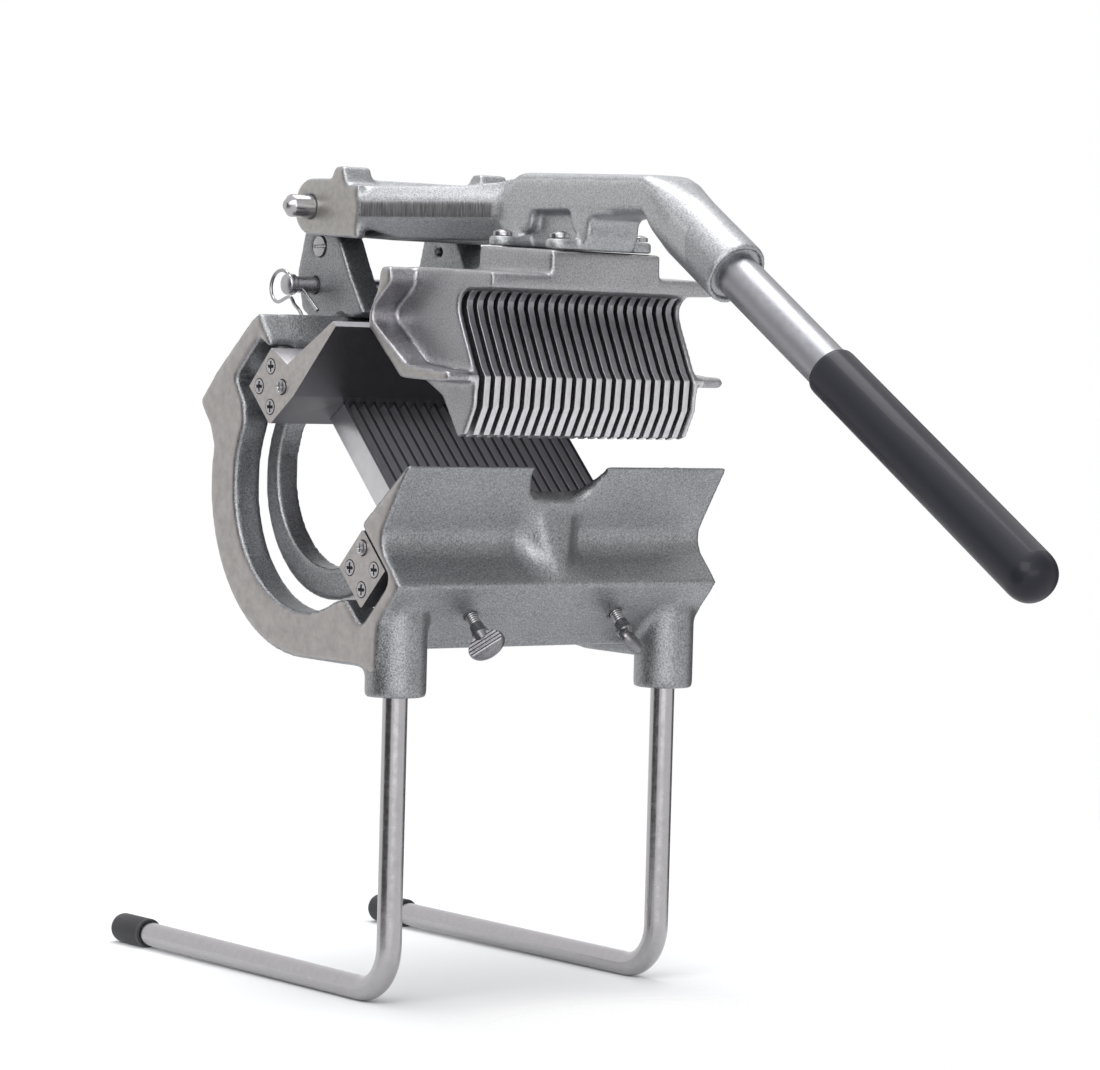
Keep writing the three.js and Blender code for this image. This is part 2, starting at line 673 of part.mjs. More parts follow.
function clipPath() {
  const points = straightShares.map((share) => onClip(clipHoleX, share * clipLeg, 0));
  const ring = arc(ringAlong, ringAcross, ringRadius, ringFrom, ringTo, smallSides);
  ring.forEach(([along, across], i) => {
    points.push(onClip(clipHoleX - clipDrift * i / smallSides, along, across));
  });
  follow(ringRadius, secondLegShares).forEach(([along, across]) => {
    points.push(onClip(clipHoleX - clipDrift, along, across));
  });
  return new THREE.CatmullRomCurve3(points, false, "centripetal");
}
addPiece("spring_clip", wireAlong(clipPath(), clipWire, 56, 8), stainless);

// Lever: a fork on the hinge rod that narrows to one arm, with a foot for the pusher and a handle socket
const lever = new THREE.Group();
slicer.add(lever);
const cheekFarX = 53.5;
const cheekNearX = earFarX + seatGap;
const armHalf = 17;
const leverSpan = 120;
const barrelRadius = 15;
const barrelTurn = [-80, 85];
const leverUnder = 229.5;
const forkMouthY = 90;
const forkNeckY = 14;
const armTopZ = 264;

const cheekTop = 261;
const forkTop = 257.5;
const neckRamp = 28;
const neckLap = 5;
const neckEase = 2;
const neckTop = 260.5;
const tabTop = 267.5;
const tabInnerX = 35.5;
const tabFrontY = 103;
const tabBackY = 113;
const tabSlope = 2;

const forkPlan = [
  [-armHalf + neckEase, forkNeckY - neckLap], [armHalf - neckEase, forkNeckY - neckLap],
  [armHalf, forkNeckY], [cheekFarX, forkMouthY],
  [cheekFarX, hingeY + barrelRadius], [-cheekFarX, hingeY + barrelRadius], [-cheekFarX, forkMouthY],
  [-armHalf, forkNeckY],
];
const forkSide = [
  ...arc(hingeY, hingeZ, barrelRadius, ...barrelTurn, bendSteps),
  [tabFrontY, cheekTop], [tabFrontY - tabSlope, forkTop],
  [forkNeckY + neckRamp, forkTop], [forkNeckY, neckTop],
  [forkNeckY - neckLap, neckTop], [forkNeckY - neckLap, leverUnder], [forkMouthY, leverUnder],
];
const tabOutline = [
  [tabFrontY - 2 * tabSlope, forkTop - tabSlope], [tabBackY + 2 * tabSlope, forkTop - tabSlope],
  [tabBackY + tabSlope, cheekTop], [tabBackY, tabTop - tabSlope], [tabBackY - tabSlope, tabTop],
  [tabFrontY + tabSlope / 2, tabTop], [tabFrontY, tabTop - tabSlope],
];

function planSlab(points, fromZ, toZ) {
  const geometry = new THREE.ExtrudeGeometry(shapeOf(points), { depth: toZ - fromZ, bevelEnabled: false });
  geometry.translate(0, 0, fromZ);
  return solidOf(geometry);
}

// Bevels along each sloping side of the fork, over and under its flat middle, and the hollow under it
const bevelHighZ = 249.5;
const bevelLowZ = 240.7;
const bevelIn = 7;
const forkWall = 9;

function forkBevels(side) {
  const wall = at(side * (cheekFarX - armHalf), forkMouthY - forkNeckY, 0);
  const outward = at(wall.y, -wall.x, 0).multiplyScalar(side).normalize();
  const frame = new THREE.Matrix4().makeBasis(outward, at(0, 0, 1), outward.clone().cross(at(0, 0, 1)));
  frame.setPosition(side * armHalf, forkNeckY, 0);
  const length = 2 * wall.length();
  const upper = [
    [-bevelIn, forkTop], [0, bevelHighZ], [bevelIn, bevelHighZ], [bevelIn, armTopZ], [-bevelIn, armTopZ],
  ];
  const lower = [
    [-bevelIn, leverUnder], [-bevelIn, leverUnder - overrun], [bevelIn, leverUnder - overrun],
    [bevelIn, bevelLowZ], [0, bevelLowZ],
  ];
  const wallOnly = block(-cheekFarX - bevelIn, cheekFarX + bevelIn, forkNeckY, forkMouthY,
    leverUnder - bevelIn, armTopZ + bevelIn);
  return join(slab(upper, -length, length, frame), slab(lower, -length, length, frame)).intersect(wallOnly);
}

const hollowPlan = [
  [-armHalf + forkWall, forkNeckY + 2 * forkWall], [armHalf - forkWall, forkNeckY + 2 * forkWall],
  [cheekFarX - 2 * forkWall, forkMouthY - forkWall], [-cheekFarX + 2 * forkWall, forkMouthY - forkWall],
];

// The ears swing inside the fork, so it is cleared wherever they reach between the open and shut stops
const openAngle = 45;
const shutAngle = 34;
const swingSpareAngle = 2;
const belowTurn = [205, 340];

function earSweep() {
  const turnedBy = (points, degrees) => points.map(([y, z]) => {
    const turn = THREE.MathUtils.degToRad(degrees);
    const [dy, dz] = [y - hingeY, z - hingeZ];
    return [
      hingeY + dy * Math.cos(turn) - dz * Math.sin(turn),
      hingeZ + dy * Math.sin(turn) + dz * Math.cos(turn),
    ];
  });
  const earFront = follow(bracketBase, earFrontShares, hingeY, hingeZ);
  const frontEdge = turnedBy(earFront, -shutAngle - swingSpareAngle);
  const backEdge = turnedBy(follow(bracketBase, earBackShares, hingeY, hingeZ), openAngle + swingSpareAngle);
  const below = arc(hingeY, hingeZ, 2 * bracketBase, ...belowTurn, bendSteps / 2);
  const eyeFront = turnedBy(earOutline, -shutAngle - swingSpareAngle)[bendSteps];
  const reach = [[hingeY, hingeZ], eyeFront, ...frontEdge, ...below, ...backEdge];
  return join(
    bothSides(reach, earNearX - seatGap, cheekNearX),
    crossBar(earNearX - seatGap, cheekNearX, hingeY, hingeZ, earEye + seatGap, fineSides),
    crossBar(-cheekNearX, -earNearX + seatGap, hingeY, hingeZ, earEye + seatGap, fineSides),
  );
}

// Side of the arm, as shares of the lever's span about the hinge rod
const armShares = [
  [-0.96, -0.01], [-1.7, -0.01], [-1.72, -0.055], [-1.65, -0.055],
  [-1.605, -0.064], [-1.59, -0.085], [-1.585, -0.14], [-1.54, -0.21], [-1.0, -0.19], [-0.94, -0.12],
];
// Pockets in the arm's sides between the bolts, open down to the pusher's pad
const pocketShares = [
  [-1.205, -0.027], [-1.452, -0.03], [-1.468, -0.1], [-1.52, -0.15], [-1.52, -0.25],
  [-1.055, -0.25], [-1.06, -0.145], [-1.19, -0.1],
];
const armSide = follow(leverSpan, armShares, hingeY, hingeZ);

// Handle axis, from the socket's mouth down to the grip's end
const handleTurn = THREE.MathUtils.degToRad(handleDrop);
const handleAlong = at(0, -Math.cos(handleTurn), -Math.sin(handleTurn));
const mouthY = -152;
const mouthZ = 211.8;
const mouthCentre = at(0, mouthY, mouthZ);
const onHandle = (along) => mouthCentre.clone().addScaledVector(handleAlong, along);
const socketRadius = 16.4;
const socketLength = 42;
const tubeRadius = 11;
const tubeInsert = 38;
const gripRadius = 12.8;
const gripStart = 82;
const gripEnd = 253.5;
const gripWall = 1.6;
const socketWall = 2.6;
const socketLip = 6;

// Pad on top of the pusher, with a little fall to the front, and the arm's foot on it
const plateTop = 211;
const plateDeep = 7.8;
const plateBottom = plateTop - plateDeep;
const padFrontY = -52;
const padBackY = 9.3;
const padFrontTop = 223.2;
const padBackTop = 226.1;
const webHalf = 10;
const webInset = 0.6;
const boltX = 25;
const boltBackY = 2;
const boltFrontY = -44.5;
const boltRadius = 3;
const boltHeadRadius = 5.3;
const boltHeadHeight = 3.7;
const boltHeadEase = 1.6;
const boltCrownRadius = boltHeadRadius - boltHeadEase;
const boltLength = 22;
const bossTopFront = 229.6;
const bossTopBack = 231.2;
const padBossRadius = 7;
const boltPlaces = [
  ["back_left", -boltX, boltBackY, bossTopBack], ["back_right", boltX, boltBackY, bossTopBack],
  ["front_left", -boltX, boltFrontY, bossTopFront], ["front_right", boltX, boltFrontY, bossTopFront],
];

// Rings of the arm's rounded section: half width and half height about a centre, leaning forward,
// and a squareness of 2 for a circle and more for a rounded square
const armRingSides = 28;
function armRing(centreY, centreZ, halfWide, halfTall, lean, square) {
  const tilt = THREE.MathUtils.degToRad(lean);
  const up = at(0, -Math.sin(tilt), Math.cos(tilt));
  return Array.from({ length: armRingSides }, (_, i) => {
    const turn = (i + 1 / 2) * 2 * Math.PI / armRingSides;
    const [a, b] = [Math.cos(turn), Math.sin(turn)]
      .map((share) => Math.sign(share) * Math.abs(share) ** (2 / square));
    return at(-halfWide * a, centreY, centreZ).addScaledVector(up, halfTall * b);
  });
}

const backOfSocket = onHandle(-socketLength);
const socketRings = [backOfSocket, mouthCentre].map((place) =>
  armRing(place.y, place.z, socketRadius, socketRadius, handleDrop, 2));
// Each ring's place and height as shares of the lever's span, its width as a share of the arm's, then its
// lean and squareness
const armRingShares = [
  [-0.951, -0.0225, 0.853, 0.035, 0, 3], [-0.9625, -0.0075, 0.941, 0.055, 0, 3],
  [-1.006, 0.02, 1, 0.0825, 0, 4], [-1.089, 0.0425, 1, 0.1, 0, 5],
  [-1.931, 0.0292, 1, 0.0842, 0, 5], [-1.989, -0.0225, 1, 0.1146, 8.6, 3.5],
];
const armRings = armRingShares.map(([along, rise, wide, tall, lean, square]) => armRing(
  hingeY + along * leverSpan, hingeZ + rise * leverSpan, wide * armHalf, tall * leverSpan, lean, square));

function leverCasting() {
  const fork = planSlab(forkPlan, leverUnder, armTopZ).intersect(
    slab(forkSide, -cheekFarX - overrun, cheekFarX + overrun));
  const armWeb = slab(armSide, -armHalf + webInset, armHalf - webInset);
  const pocket = follow(leverSpan, pocketShares, hingeY, hingeZ);
  let body = join(
    cut(join(armWeb, loft([...armRings, ...socketRings])), bothSides(pocket, webHalf, armHalf + overrun)),
    fork,
    slab(tabOutline, tabInnerX, cheekFarX), slab(tabOutline, -cheekFarX, -tabInnerX),
  );
  for (const [, x, y, top] of boltPlaces) {
    body = join(body,
      roundBar(at(x, y, padFrontTop), at(x, y, top), padBossRadius, fineSides),
      block(Math.min(x, 0), Math.max(x, 0), y - padBossRadius + overrun, y + padBossRadius - overrun,
        padFrontTop, top));
  }
  body = cut(body,
    forkBevels(-1), forkBevels(1), planSlab(hollowPlan, leverUnder - overrun, bevelHighZ),
    slab([
      [padFrontY - overrun, padFrontTop + seatGap], [padBackY + overrun, padBackTop + seatGap],
      [padBackY + overrun, plateBottom], [padFrontY - overrun, plateBottom],
    ], -cheekFarX, cheekFarX),
    earSweep(),
    crossBar(-cheekFarX - overrun, cheekFarX + overrun, hingeY, hingeZ, hingeRadius + runGap),
    roundBar(onHandle(socketRadius), onHandle(-tubeInsert - seatGap), tubeRadius + runGap, fineSides),
    roundBar(onHandle(socketRadius), onHandle(-socketLip), socketRadius - socketWall, fineSides),
  );
  for (const [, x, y, top] of boltPlaces) {
    const holeTop = at(x, y, top + overrun);
    body = cut(body, roundBar(at(x, y, padFrontTop - overrun), holeTop, boltRadius + runGap, smallSides));
  }
  return body.simplify(finestEdge);
}
addPiece("lever_casting", leverCasting(), castAluminium, lever);

for (const [label, x, y, top] of boltPlaces) {
  const seat = top + runGap;
  const crown = seat + boltHeadHeight;
  const bolt = cut(
    join(
      roundBar(at(x, y, seat), at(x, y, crown - boltHeadEase), boltHeadRadius),
      roundBar(at(x, y, crown - boltHeadEase), at(x, y, crown), boltHeadRadius, roundSides, boltCrownRadius),
      roundBar(at(x, y, seat - boltLength), at(x, y, seat + overrun), boltRadius, smallSides),
    ),
    roundBar(at(x, y, seat + boltHeadHeight / 2), at(x, y, crown + overrun), boltHeadRadius / 2, 6),
  );
  addPiece("pusher_bolt_" + label, bolt, stainless, lever);
}

const tubeEnd = gripEnd - gripRadius;
addPiece("handle_tube", cut(
  roundBar(onHandle(-tubeInsert), onHandle(tubeEnd - seatGap), tubeRadius, roundSides),
  roundBar(onHandle(-tubeInsert - overrun), onHandle(tubeEnd - gripRadius), tubeRadius - gripWall, roundSides),
), satinPlate, lever);

function gripSleeve() {
  const inside = tubeRadius + runGap;
  const profile = [
    [inside, gripStart], [gripRadius - gripWall / 2, gripStart], [gripRadius, gripStart + gripWall],
    ...arc(0, gripEnd - gripRadius, gripRadius, 0, 90, bendSteps).slice(0, -1), [0, gripEnd],
    [0, tubeEnd], [inside, tubeEnd],
  ].map(([r, along]) => new THREE.Vector2(r, along));
  const geometry = new THREE.LatheGeometry([...profile, profile[0]], fineSides);
  const turn = new THREE.Quaternion().setFromUnitVectors(new THREE.Vector3(0, 1, 0), handleAlong);
  return placed(geometry, new THREE.Matrix4().compose(mouthCentre, turn, new THREE.Vector3(1, 1, 1)));
}
addPiece("handle_grip", gripSleeve(), blackVinyl, lever);

// Pusher: a top plate with a pad for the lever's foot, fins that pass between the blades, and side flanges
const pusherBackY = 17.7;
const padHalf = 34.5;
const finThickness = bladePitch - finGap;
const endPlateNear = bladePlace(bladeCount - 1) + finGap / 2;
const endPlateFar = endPlateNear + endPlateThickness;
const flangeOverArm = 3;
const flangeFarX = armFarX + flangeOverArm;
const plateRise = 3;
const plateBackTop = plateTop + plateRise;
const topPlate = [
  [padFrontY, plateBottom], [pusherBackY, plateBottom], [pusherBackY, plateBackTop], [padBackY, plateBackTop],
  [padFrontY, plateTop],
];
const padSide = [
  [padFrontY, plateBottom], [padBackY, plateBottom], [padBackY, padBackTop], [padFrontY, padFrontTop],
];

// The pusher's back edges pass the upper bar and its guide wing, so they keep outside a circle about the hinge
const pusherInnerRadius = 122;
const flangeInnerRadius = 118.8;

// Side of a fin, as shares of its height from the plate down to the tooth, about its top front corner
const finHeight = 73.5;
const finTopY = -25.7;
const finBackTurn = [214, 200];
const finShares = [
  [-0.06, 0.04], [-0.06, 0], [-0.012, -0.03], [0.02, -0.075], [0.026, -0.12], [-0.01, -0.22],
  [-0.155, -0.52], [-0.2, -0.585], [-0.18, -0.79],
  [-0.08, -0.98], [-0.005, -1], [0.185, -0.72], [0.84, -0.39],
];
const finOutline = [
  ...follow(finHeight, finShares, finTopY, plateBottom),
  ...arc(hingeY, hingeZ, pusherInnerRadius, ...finBackTurn, bendSteps / 2),
];
const flangeShares = [
  [0.494, 0.136], [0.489, 0.034], [0.707, -0.142], [0.694, -0.227], [0.301, -0.512], [-0.045, -0.551],
  [-0.18, -0.555], [-0.2, -0.59], [-0.18, -0.63], [-0.03, -0.625], [0.355, -0.608],
  [0.744, -0.265], [0.74, -0.17], [0.64, 0], [0.61, 0.147],
];
const flangeOutline = follow(finHeight, flangeShares, finTopY, plateBottom);

function pusherBlock() {
  let body = join(
    slab(topPlate, -endPlateFar, endPlateFar),
    slab(padSide, -padHalf, padHalf),
    bothSides(flangeOutline, endPlateFar - overrun, flangeFarX),
    bothSides(finOutline, endPlateNear, endPlateFar),
  );
  body = cut(body,
    crossBar(-flangeFarX - overrun, flangeFarX + overrun, hingeY, hingeZ, flangeInnerRadius, 3 * roundSides));
  for (let i = 0; i + 1 < bladeCount; i += 1) {
    const middle = (bladePlace(i) + bladePlace(i + 1)) / 2;
    body = join(body, slab(finOutline, middle - finThickness / 2, middle + finThickness / 2));
  }
  for (const [, x, y, top] of boltPlaces) {
    const bottom = at(x, y, top - boltLength - seatGap);
    body = cut(body, roundBar(bottom, at(x, y, top), boltRadius + runGap, smallSides));
  }
  return body;
}
addPiece("pusher_block", pusherBlock(), machinedAluminium, lever);

// The origin goes to the middle of the footprint
const reach = new THREE.Box3().setFromObject(slicer);
const middle = reach.getCenter(new THREE.Vector3());
slicer.position.set(-middle.x, -middle.y, -reach.min.z);
slicer.updateMatrixWorld(true);

export default slicer;
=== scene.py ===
import math

import bmesh
import bpy
import numpy as np
from mathutils import Matrix, Vector


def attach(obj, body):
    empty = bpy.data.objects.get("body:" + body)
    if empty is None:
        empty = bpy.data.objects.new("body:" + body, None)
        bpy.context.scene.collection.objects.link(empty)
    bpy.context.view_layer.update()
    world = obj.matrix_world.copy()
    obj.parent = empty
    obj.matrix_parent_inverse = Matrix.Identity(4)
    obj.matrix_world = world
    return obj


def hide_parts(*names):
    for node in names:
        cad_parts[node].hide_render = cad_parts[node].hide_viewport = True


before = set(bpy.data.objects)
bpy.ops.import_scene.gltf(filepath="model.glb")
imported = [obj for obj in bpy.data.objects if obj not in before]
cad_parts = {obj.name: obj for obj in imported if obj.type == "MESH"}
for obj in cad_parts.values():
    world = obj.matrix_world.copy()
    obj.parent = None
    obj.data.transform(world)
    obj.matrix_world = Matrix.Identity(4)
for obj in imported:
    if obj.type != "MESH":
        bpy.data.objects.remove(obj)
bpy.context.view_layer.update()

# The studio: the photograph looks 38 degrees round from the front and a little down, through a long lens.
# Places in this file are in millimetres from the legs' axes and the underside of their bosses, as a
# fitter would measure them, and this shift takes them to the frame's origin on the bench
SHIFT = np.array([0.0, 56.325, 155.397])
yaw, pitch, roll = np.radians([37.821, 2.400, 1.504])
ahead = np.array([math.sin(yaw) * math.cos(pitch), math.cos(yaw) * math.cos(pitch), -math.sin(pitch)])
level = np.array([math.cos(yaw), -math.sin(yaw), 0.0])
upright = np.cross(level, ahead)
across = math.cos(roll) * level + math.sin(roll) * upright
above = -math.sin(roll) * level + math.cos(roll) * upright
eye = bpy.data.objects.new("camera", bpy.data.cameras.new("camera"))
eye.data.sensor_width = 36.0
eye.data.lens = 128.28
eye.data.clip_end = 60.0
eye_place = (np.array([-1218.87, -1581.42, 163.84]) + SHIFT) / 1000
stand = np.eye(4)
stand[:3] = np.stack([across, above, -ahead, eye_place], axis=1)
eye.matrix_world = Matrix(stand.tolist())
bpy.context.collection.objects.link(eye)
bpy.context.scene.camera = eye
bpy.context.scene.view_settings.view_transform = "Standard"


def linear(hexa):
    """One colour written as sRGB hex, turned to linear light: ((c + 0.055) / 1.055) to the power 2.4."""
    parts = [int(hexa[i:i + 2], 16) / 255 for i in (0, 2, 4)]
    return [p / 12.92 if p <= 0.04045 else ((p + 0.055) / 1.055) ** 2.4 for p in parts] + [1.0]


def add(tree, kind, settings=None, values=None):
    """Adds one node, sets what it is told, and links or sets its inputs by name or by number."""
    made = tree.nodes.new(kind)
    for key, value in (settings or {}).items():
        setattr(made, key, value)
    for key, value in (values or {}).items():
        if isinstance(value, bpy.types.NodeSocket):
            tree.links.new(value, made.inputs[key])
        else:
            made.inputs[key].default_value = value
    return made


# Lamps: a square soft box from the left and above, a low wide one from beside the camera that draws the
# white line down the legs, and one overhead that draws the line along the handle
for name, place_m, aim_m, size_m, watts in [
    ("key_softbox", (-1.7, -1.0, 1.5), (0.0, 0.0, 0.25), (1.5, 1.5), 22.0),
    ("front_softbox", (-0.95, -2.15, 0.45), (0.0, 0.0, 0.2), (1.7, 0.8), 8.0),
    ("top_softbox", (0.1, 0.3, 1.9), (0.0, 0.0, 0.2), (1.0, 1.0), 16.0),
]:
    lamp = bpy.data.objects.new(name, bpy.data.lights.new(name, "AREA"))
    lamp.data.shape = "RECTANGLE"
    lamp.data.size, lamp.data.size_y = size_m
    lamp.data.energy = watts
    lamp.location = place_m
    lamp.rotation_euler = (Vector(place_m) - Vector(aim_m)).to_track_quat("Z", "Y").to_euler()
    bpy.context.collection.objects.link(lamp)

world = bpy.data.worlds.new("studio")
bpy.context.scene.world = world
world.use_nodes = True
sky = world.node_tree
sky.nodes.clear()
rays = add(sky, "ShaderNodeLightPath")
heading = add(sky, "ShaderNodeTexCoord")
parts = add(sky, "ShaderNodeSeparateXYZ", values={0: heading.outputs["Generated"]})
# The room's light is full from above and from the left, and falls off towards the floor and the right
height = add(sky, "ShaderNodeMapRange", values={
    "Value": parts.outputs["Z"], "From Min": -0.25, "From Max": 0.75, "To Min": 0.45, "To Max": 1.0})
side = add(sky, "ShaderNodeMapRange", values={
    "Value": parts.outputs["X"], "From Min": -0.9, "From Max": 0.9, "To Min": 1.0, "To Max": 0.6})
room = add(sky, "ShaderNodeMath", {"operation": "MULTIPLY"}, {0: height.outputs[0], 1: side.outputs[0]})
# The backdrop is white, and metal shows it too, apart from the soft grey cards that a photographer
# stands round bare metal to draw its edges: left, over the right shoulder, and right. Each has the
# way to its centre, the cosines where it is full and where it ends, and its grey
cards = 1.0
for centre, inner, outer, grey in [
    ((-0.99, 0.134, -0.04), 0.92, 0.79, 0.10),
    ((0.61, -0.55, 0.56), 0.95, 0.80, 0.6),
    ((0.97, 0.22, 0.0), 0.93, 0.80, 0.16),
]:
    near = add(sky, "ShaderNodeVectorMath", {"operation": "DOT_PRODUCT"}, {
        0: heading.outputs["Generated"], 1: centre})
    shade = add(sky, "ShaderNodeMapRange", {"interpolation_type": "SMOOTHSTEP"}, {
        "Value": near.outputs["Value"], "From Min": outer, "From Max": inner,
        "To Min": 1.0, "To Max": grey})
    cards = add(sky, "ShaderNodeMath", {"operation": "MULTIPLY"}, {
        0: shade.outputs[0], 1: cards}).outputs[0]
in_metal = add(sky, "ShaderNodeMix", values={0: rays.outputs["Is Glossy Ray"], 2: 1.0, 3: cards})
clear = add(sky, "ShaderNodeMath", {"operation": "ADD"}, {
    0: rays.outputs["Is Camera Ray"], 1: rays.outputs["Is Transmission Ray"]})
shown = add(sky, "ShaderNodeMath", {"operation": "ADD", "use_clamp": True}, {
    0: clear.outputs[0], 1: rays.outputs["Is Glossy Ray"]})
seen = add(sky, "ShaderNodeMix", values={0: shown.outputs[0], 2: room.outputs[0], 3: in_metal.outputs[0]})
glow = add(sky, "ShaderNodeBackground", values={"Color": linear("ffffff"), "Strength": seen.outputs[0]})
add(sky, "ShaderNodeOutputWorld", values={"Surface": glow.outputs[0]})

# Floor: matt white board under the feet that holds the shadow and fades into the white room. It also
# fades in front of the feet, where the lowered handle passes below their level beside the counter.
# These sizes are in metres
HALF_FLOOR = 1.4
HANDLE_PASSES = (0.0, -0.118, 0.0)
SOONER_IN_METAL = 1.6
floor_corners = [(x * HALF_FLOOR, y * HALF_FLOOR, 0) for x, y in ((-1, -1), (1, -1), (1, 1), (-1, 1))]
floor_mesh = bpy.data.meshes.new("floor")
floor_mesh.from_pydata(floor_corners, [], [(0, 1, 2, 3)])
floor = bpy.data.objects.new("floor", floor_mesh)
bpy.context.collection.objects.link(floor)
board = bpy.data.materials.new("matt_white_board")
board.use_nodes = True
paint = board.node_tree
paint.nodes.clear()
spot = add(paint, "ShaderNodeTexCoord")
distance = add(paint, "ShaderNodeVectorMath", {"operation": "LENGTH"}, {0: spot.outputs["Object"]})
# Bright metal sees past the board sooner, to the cards that stand round it
mirrored = add(paint, "ShaderNodeMath", {"operation": "MULTIPLY_ADD"}, {
    0: add(paint, "ShaderNodeLightPath").outputs["Is Glossy Ray"], 1: SOONER_IN_METAL, 2: 1.0})
reached = add(paint, "ShaderNodeMath", {"operation": "MULTIPLY"}, {
    0: distance.outputs["Value"], 1: mirrored.outputs[0]})
far_off = add(paint, "ShaderNodeMapRange", {"interpolation_type": "SMOOTHSTEP"}, {
    "Value": reached.outputs[0], "From Min": 0.3, "From Max": 1.3, "To Min": 0.0, "To Max": 1.0})
from_handle = add(paint, "ShaderNodeVectorMath", {"operation": "DISTANCE"}, {
    0: spot.outputs["Object"], 1: HANDLE_PASSES})
way_down = add(paint, "ShaderNodeMapRange", {"interpolation_type": "SMOOTHSTEP"}, {
    "Value": from_handle.outputs["Value"], "From Min": 0.10, "From Max": 0.19,
    "To Min": 1.0, "To Max": 0.0})
open_floor = add(paint, "ShaderNodeMath", {"operation": "MAXIMUM"}, {
    0: far_off.outputs[0], 1: way_down.outputs[0]})
matt = add(paint, "ShaderNodeBsdfDiffuse", values={"Color": linear("f6f7f9")})
gone = add(paint, "ShaderNodeBsdfTransparent")
blend = add(paint, "ShaderNodeMixShader", values={
    0: open_floor.outputs[0], 1: matt.outputs[0], 2: gone.outputs[0]})
add(paint, "ShaderNodeOutputMaterial", values={"Surface": blend.outputs[0]})
floor_mesh.materials.append(board)

# Frame casting: one sand casting in aluminium with two C-shaped end plates, the front trough and its
# guide wing, the leg bosses, the rear beam and the pin lugs. Corners are rounded by the mould, and
# the outer faces of the end plates are milled flat


def finish_mesh(name, mesh, material, body, stands_for):
    """Hangs a finished mesh on its body, in place of the CAD solids that it stands for, if any."""
    piece = bpy.data.objects.new(name, mesh)
    bpy.context.collection.objects.link(piece)
    mesh.materials.clear()
    mesh.materials.append(material)
    mesh.shade_smooth()
    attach(piece, body)
    if stands_for:
        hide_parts(*stands_for)
    return piece


def merged(node_name):
    """A working copy of one solid, with its loose triangles joined where their corners meet."""
    work = bmesh.new()
    work.from_mesh(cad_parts[node_name].data)
    bmesh.ops.remove_doubles(work, verts=work.verts, dist=2e-6)
    return work


def cast_skin(node_name, material, body, grid_mm, passes, ease=None, finer_x=1.0):
    """The solid of one node as a sand mould leaves it. Its surface is rebuilt on a grid, finer along X
    where thin walls ask for it. Then each point goes a share of the way to the mean of its neighbours,
    pass after pass, so that corners round off while flats stay flat. An inner corner takes a large share
    and an outer edge a small one, and ease(places) scales both. Where it says more than 1, the place is
    filled again after the rest, as a fillet run in wax on the pattern, and its edges hold."""
    INNER, OUTER, OUTER_IN_WAX, MOST = 0.85, 0.3, 0.06, 0.9
    work = merged(node_name)
    bmesh.ops.scale(work, verts=work.verts, vec=(finer_x, 1.0, 1.0))
    mesh = bpy.data.meshes.new(node_name + "_pattern")
    work.to_mesh(mesh)
    work.free()
    pattern = bpy.data.objects.new(node_name + "_pattern", mesh)
    bpy.context.collection.objects.link(pattern)
    grid = pattern.modifiers.new("grid", "REMESH")
    grid.mode = "VOXEL"
    grid.voxel_size = grid_mm / 1000
    even = bpy.data.meshes.new_from_object(pattern.evaluated_get(bpy.context.evaluated_depsgraph_get()))
    bpy.data.objects.remove(pattern)
    count = len(even.vertices)
    points = np.empty(count * 3)
    even.vertices.foreach_get("co", points)
    points = points.reshape(-1, 3) / np.array([finer_x, 1.0, 1.0])
    pairs = np.empty(len(even.edges) * 2, dtype=np.int64)
    even.edges.foreach_get("vertices", pairs)
    one, other = pairs.reshape(-1, 2).T
    degree = np.bincount(pairs, minlength=count)[:, None]
    quads = np.empty(len(even.loops), dtype=np.int64)
    even.loops.foreach_get("vertex_index", quads)
    quads = quads.reshape(-1, 4)
    free = np.ones(count) if ease is None else ease(points * 1000 - SHIFT)
    wax_passes = 40 if free.max() > 1 else 0
    for number in range(passes + wax_passes):
        if number == passes:
            free = (free > 1).astype(float)
        mean = np.stack([np.bincount(one, points[other, k], count)
                         + np.bincount(other, points[one, k], count) for k in range(3)], axis=1) / degree
        face = np.cross(points[quads[:, 2]] - points[quads[:, 0]],
                        points[quads[:, 3]] - points[quads[:, 1]])
        outward = np.stack([sum(np.bincount(quads[:, c], face[:, k], count) for c in range(4))
                            for k in range(3)], axis=1)
        shift = mean - points
        rounding = OUTER if number < passes else OUTER_IN_WAX
        is_inner = np.einsum("ij,ij->i", shift, outward) > 0
        share = np.minimum(np.where(is_inner, INNER, rounding) * free, MOST)
        points = points + share[:, None] * shift
    even.vertices.foreach_set("co", points.ravel())
    even.update()
    return finish_mesh(node_name + "_finished", even, material, body, (node_name,))


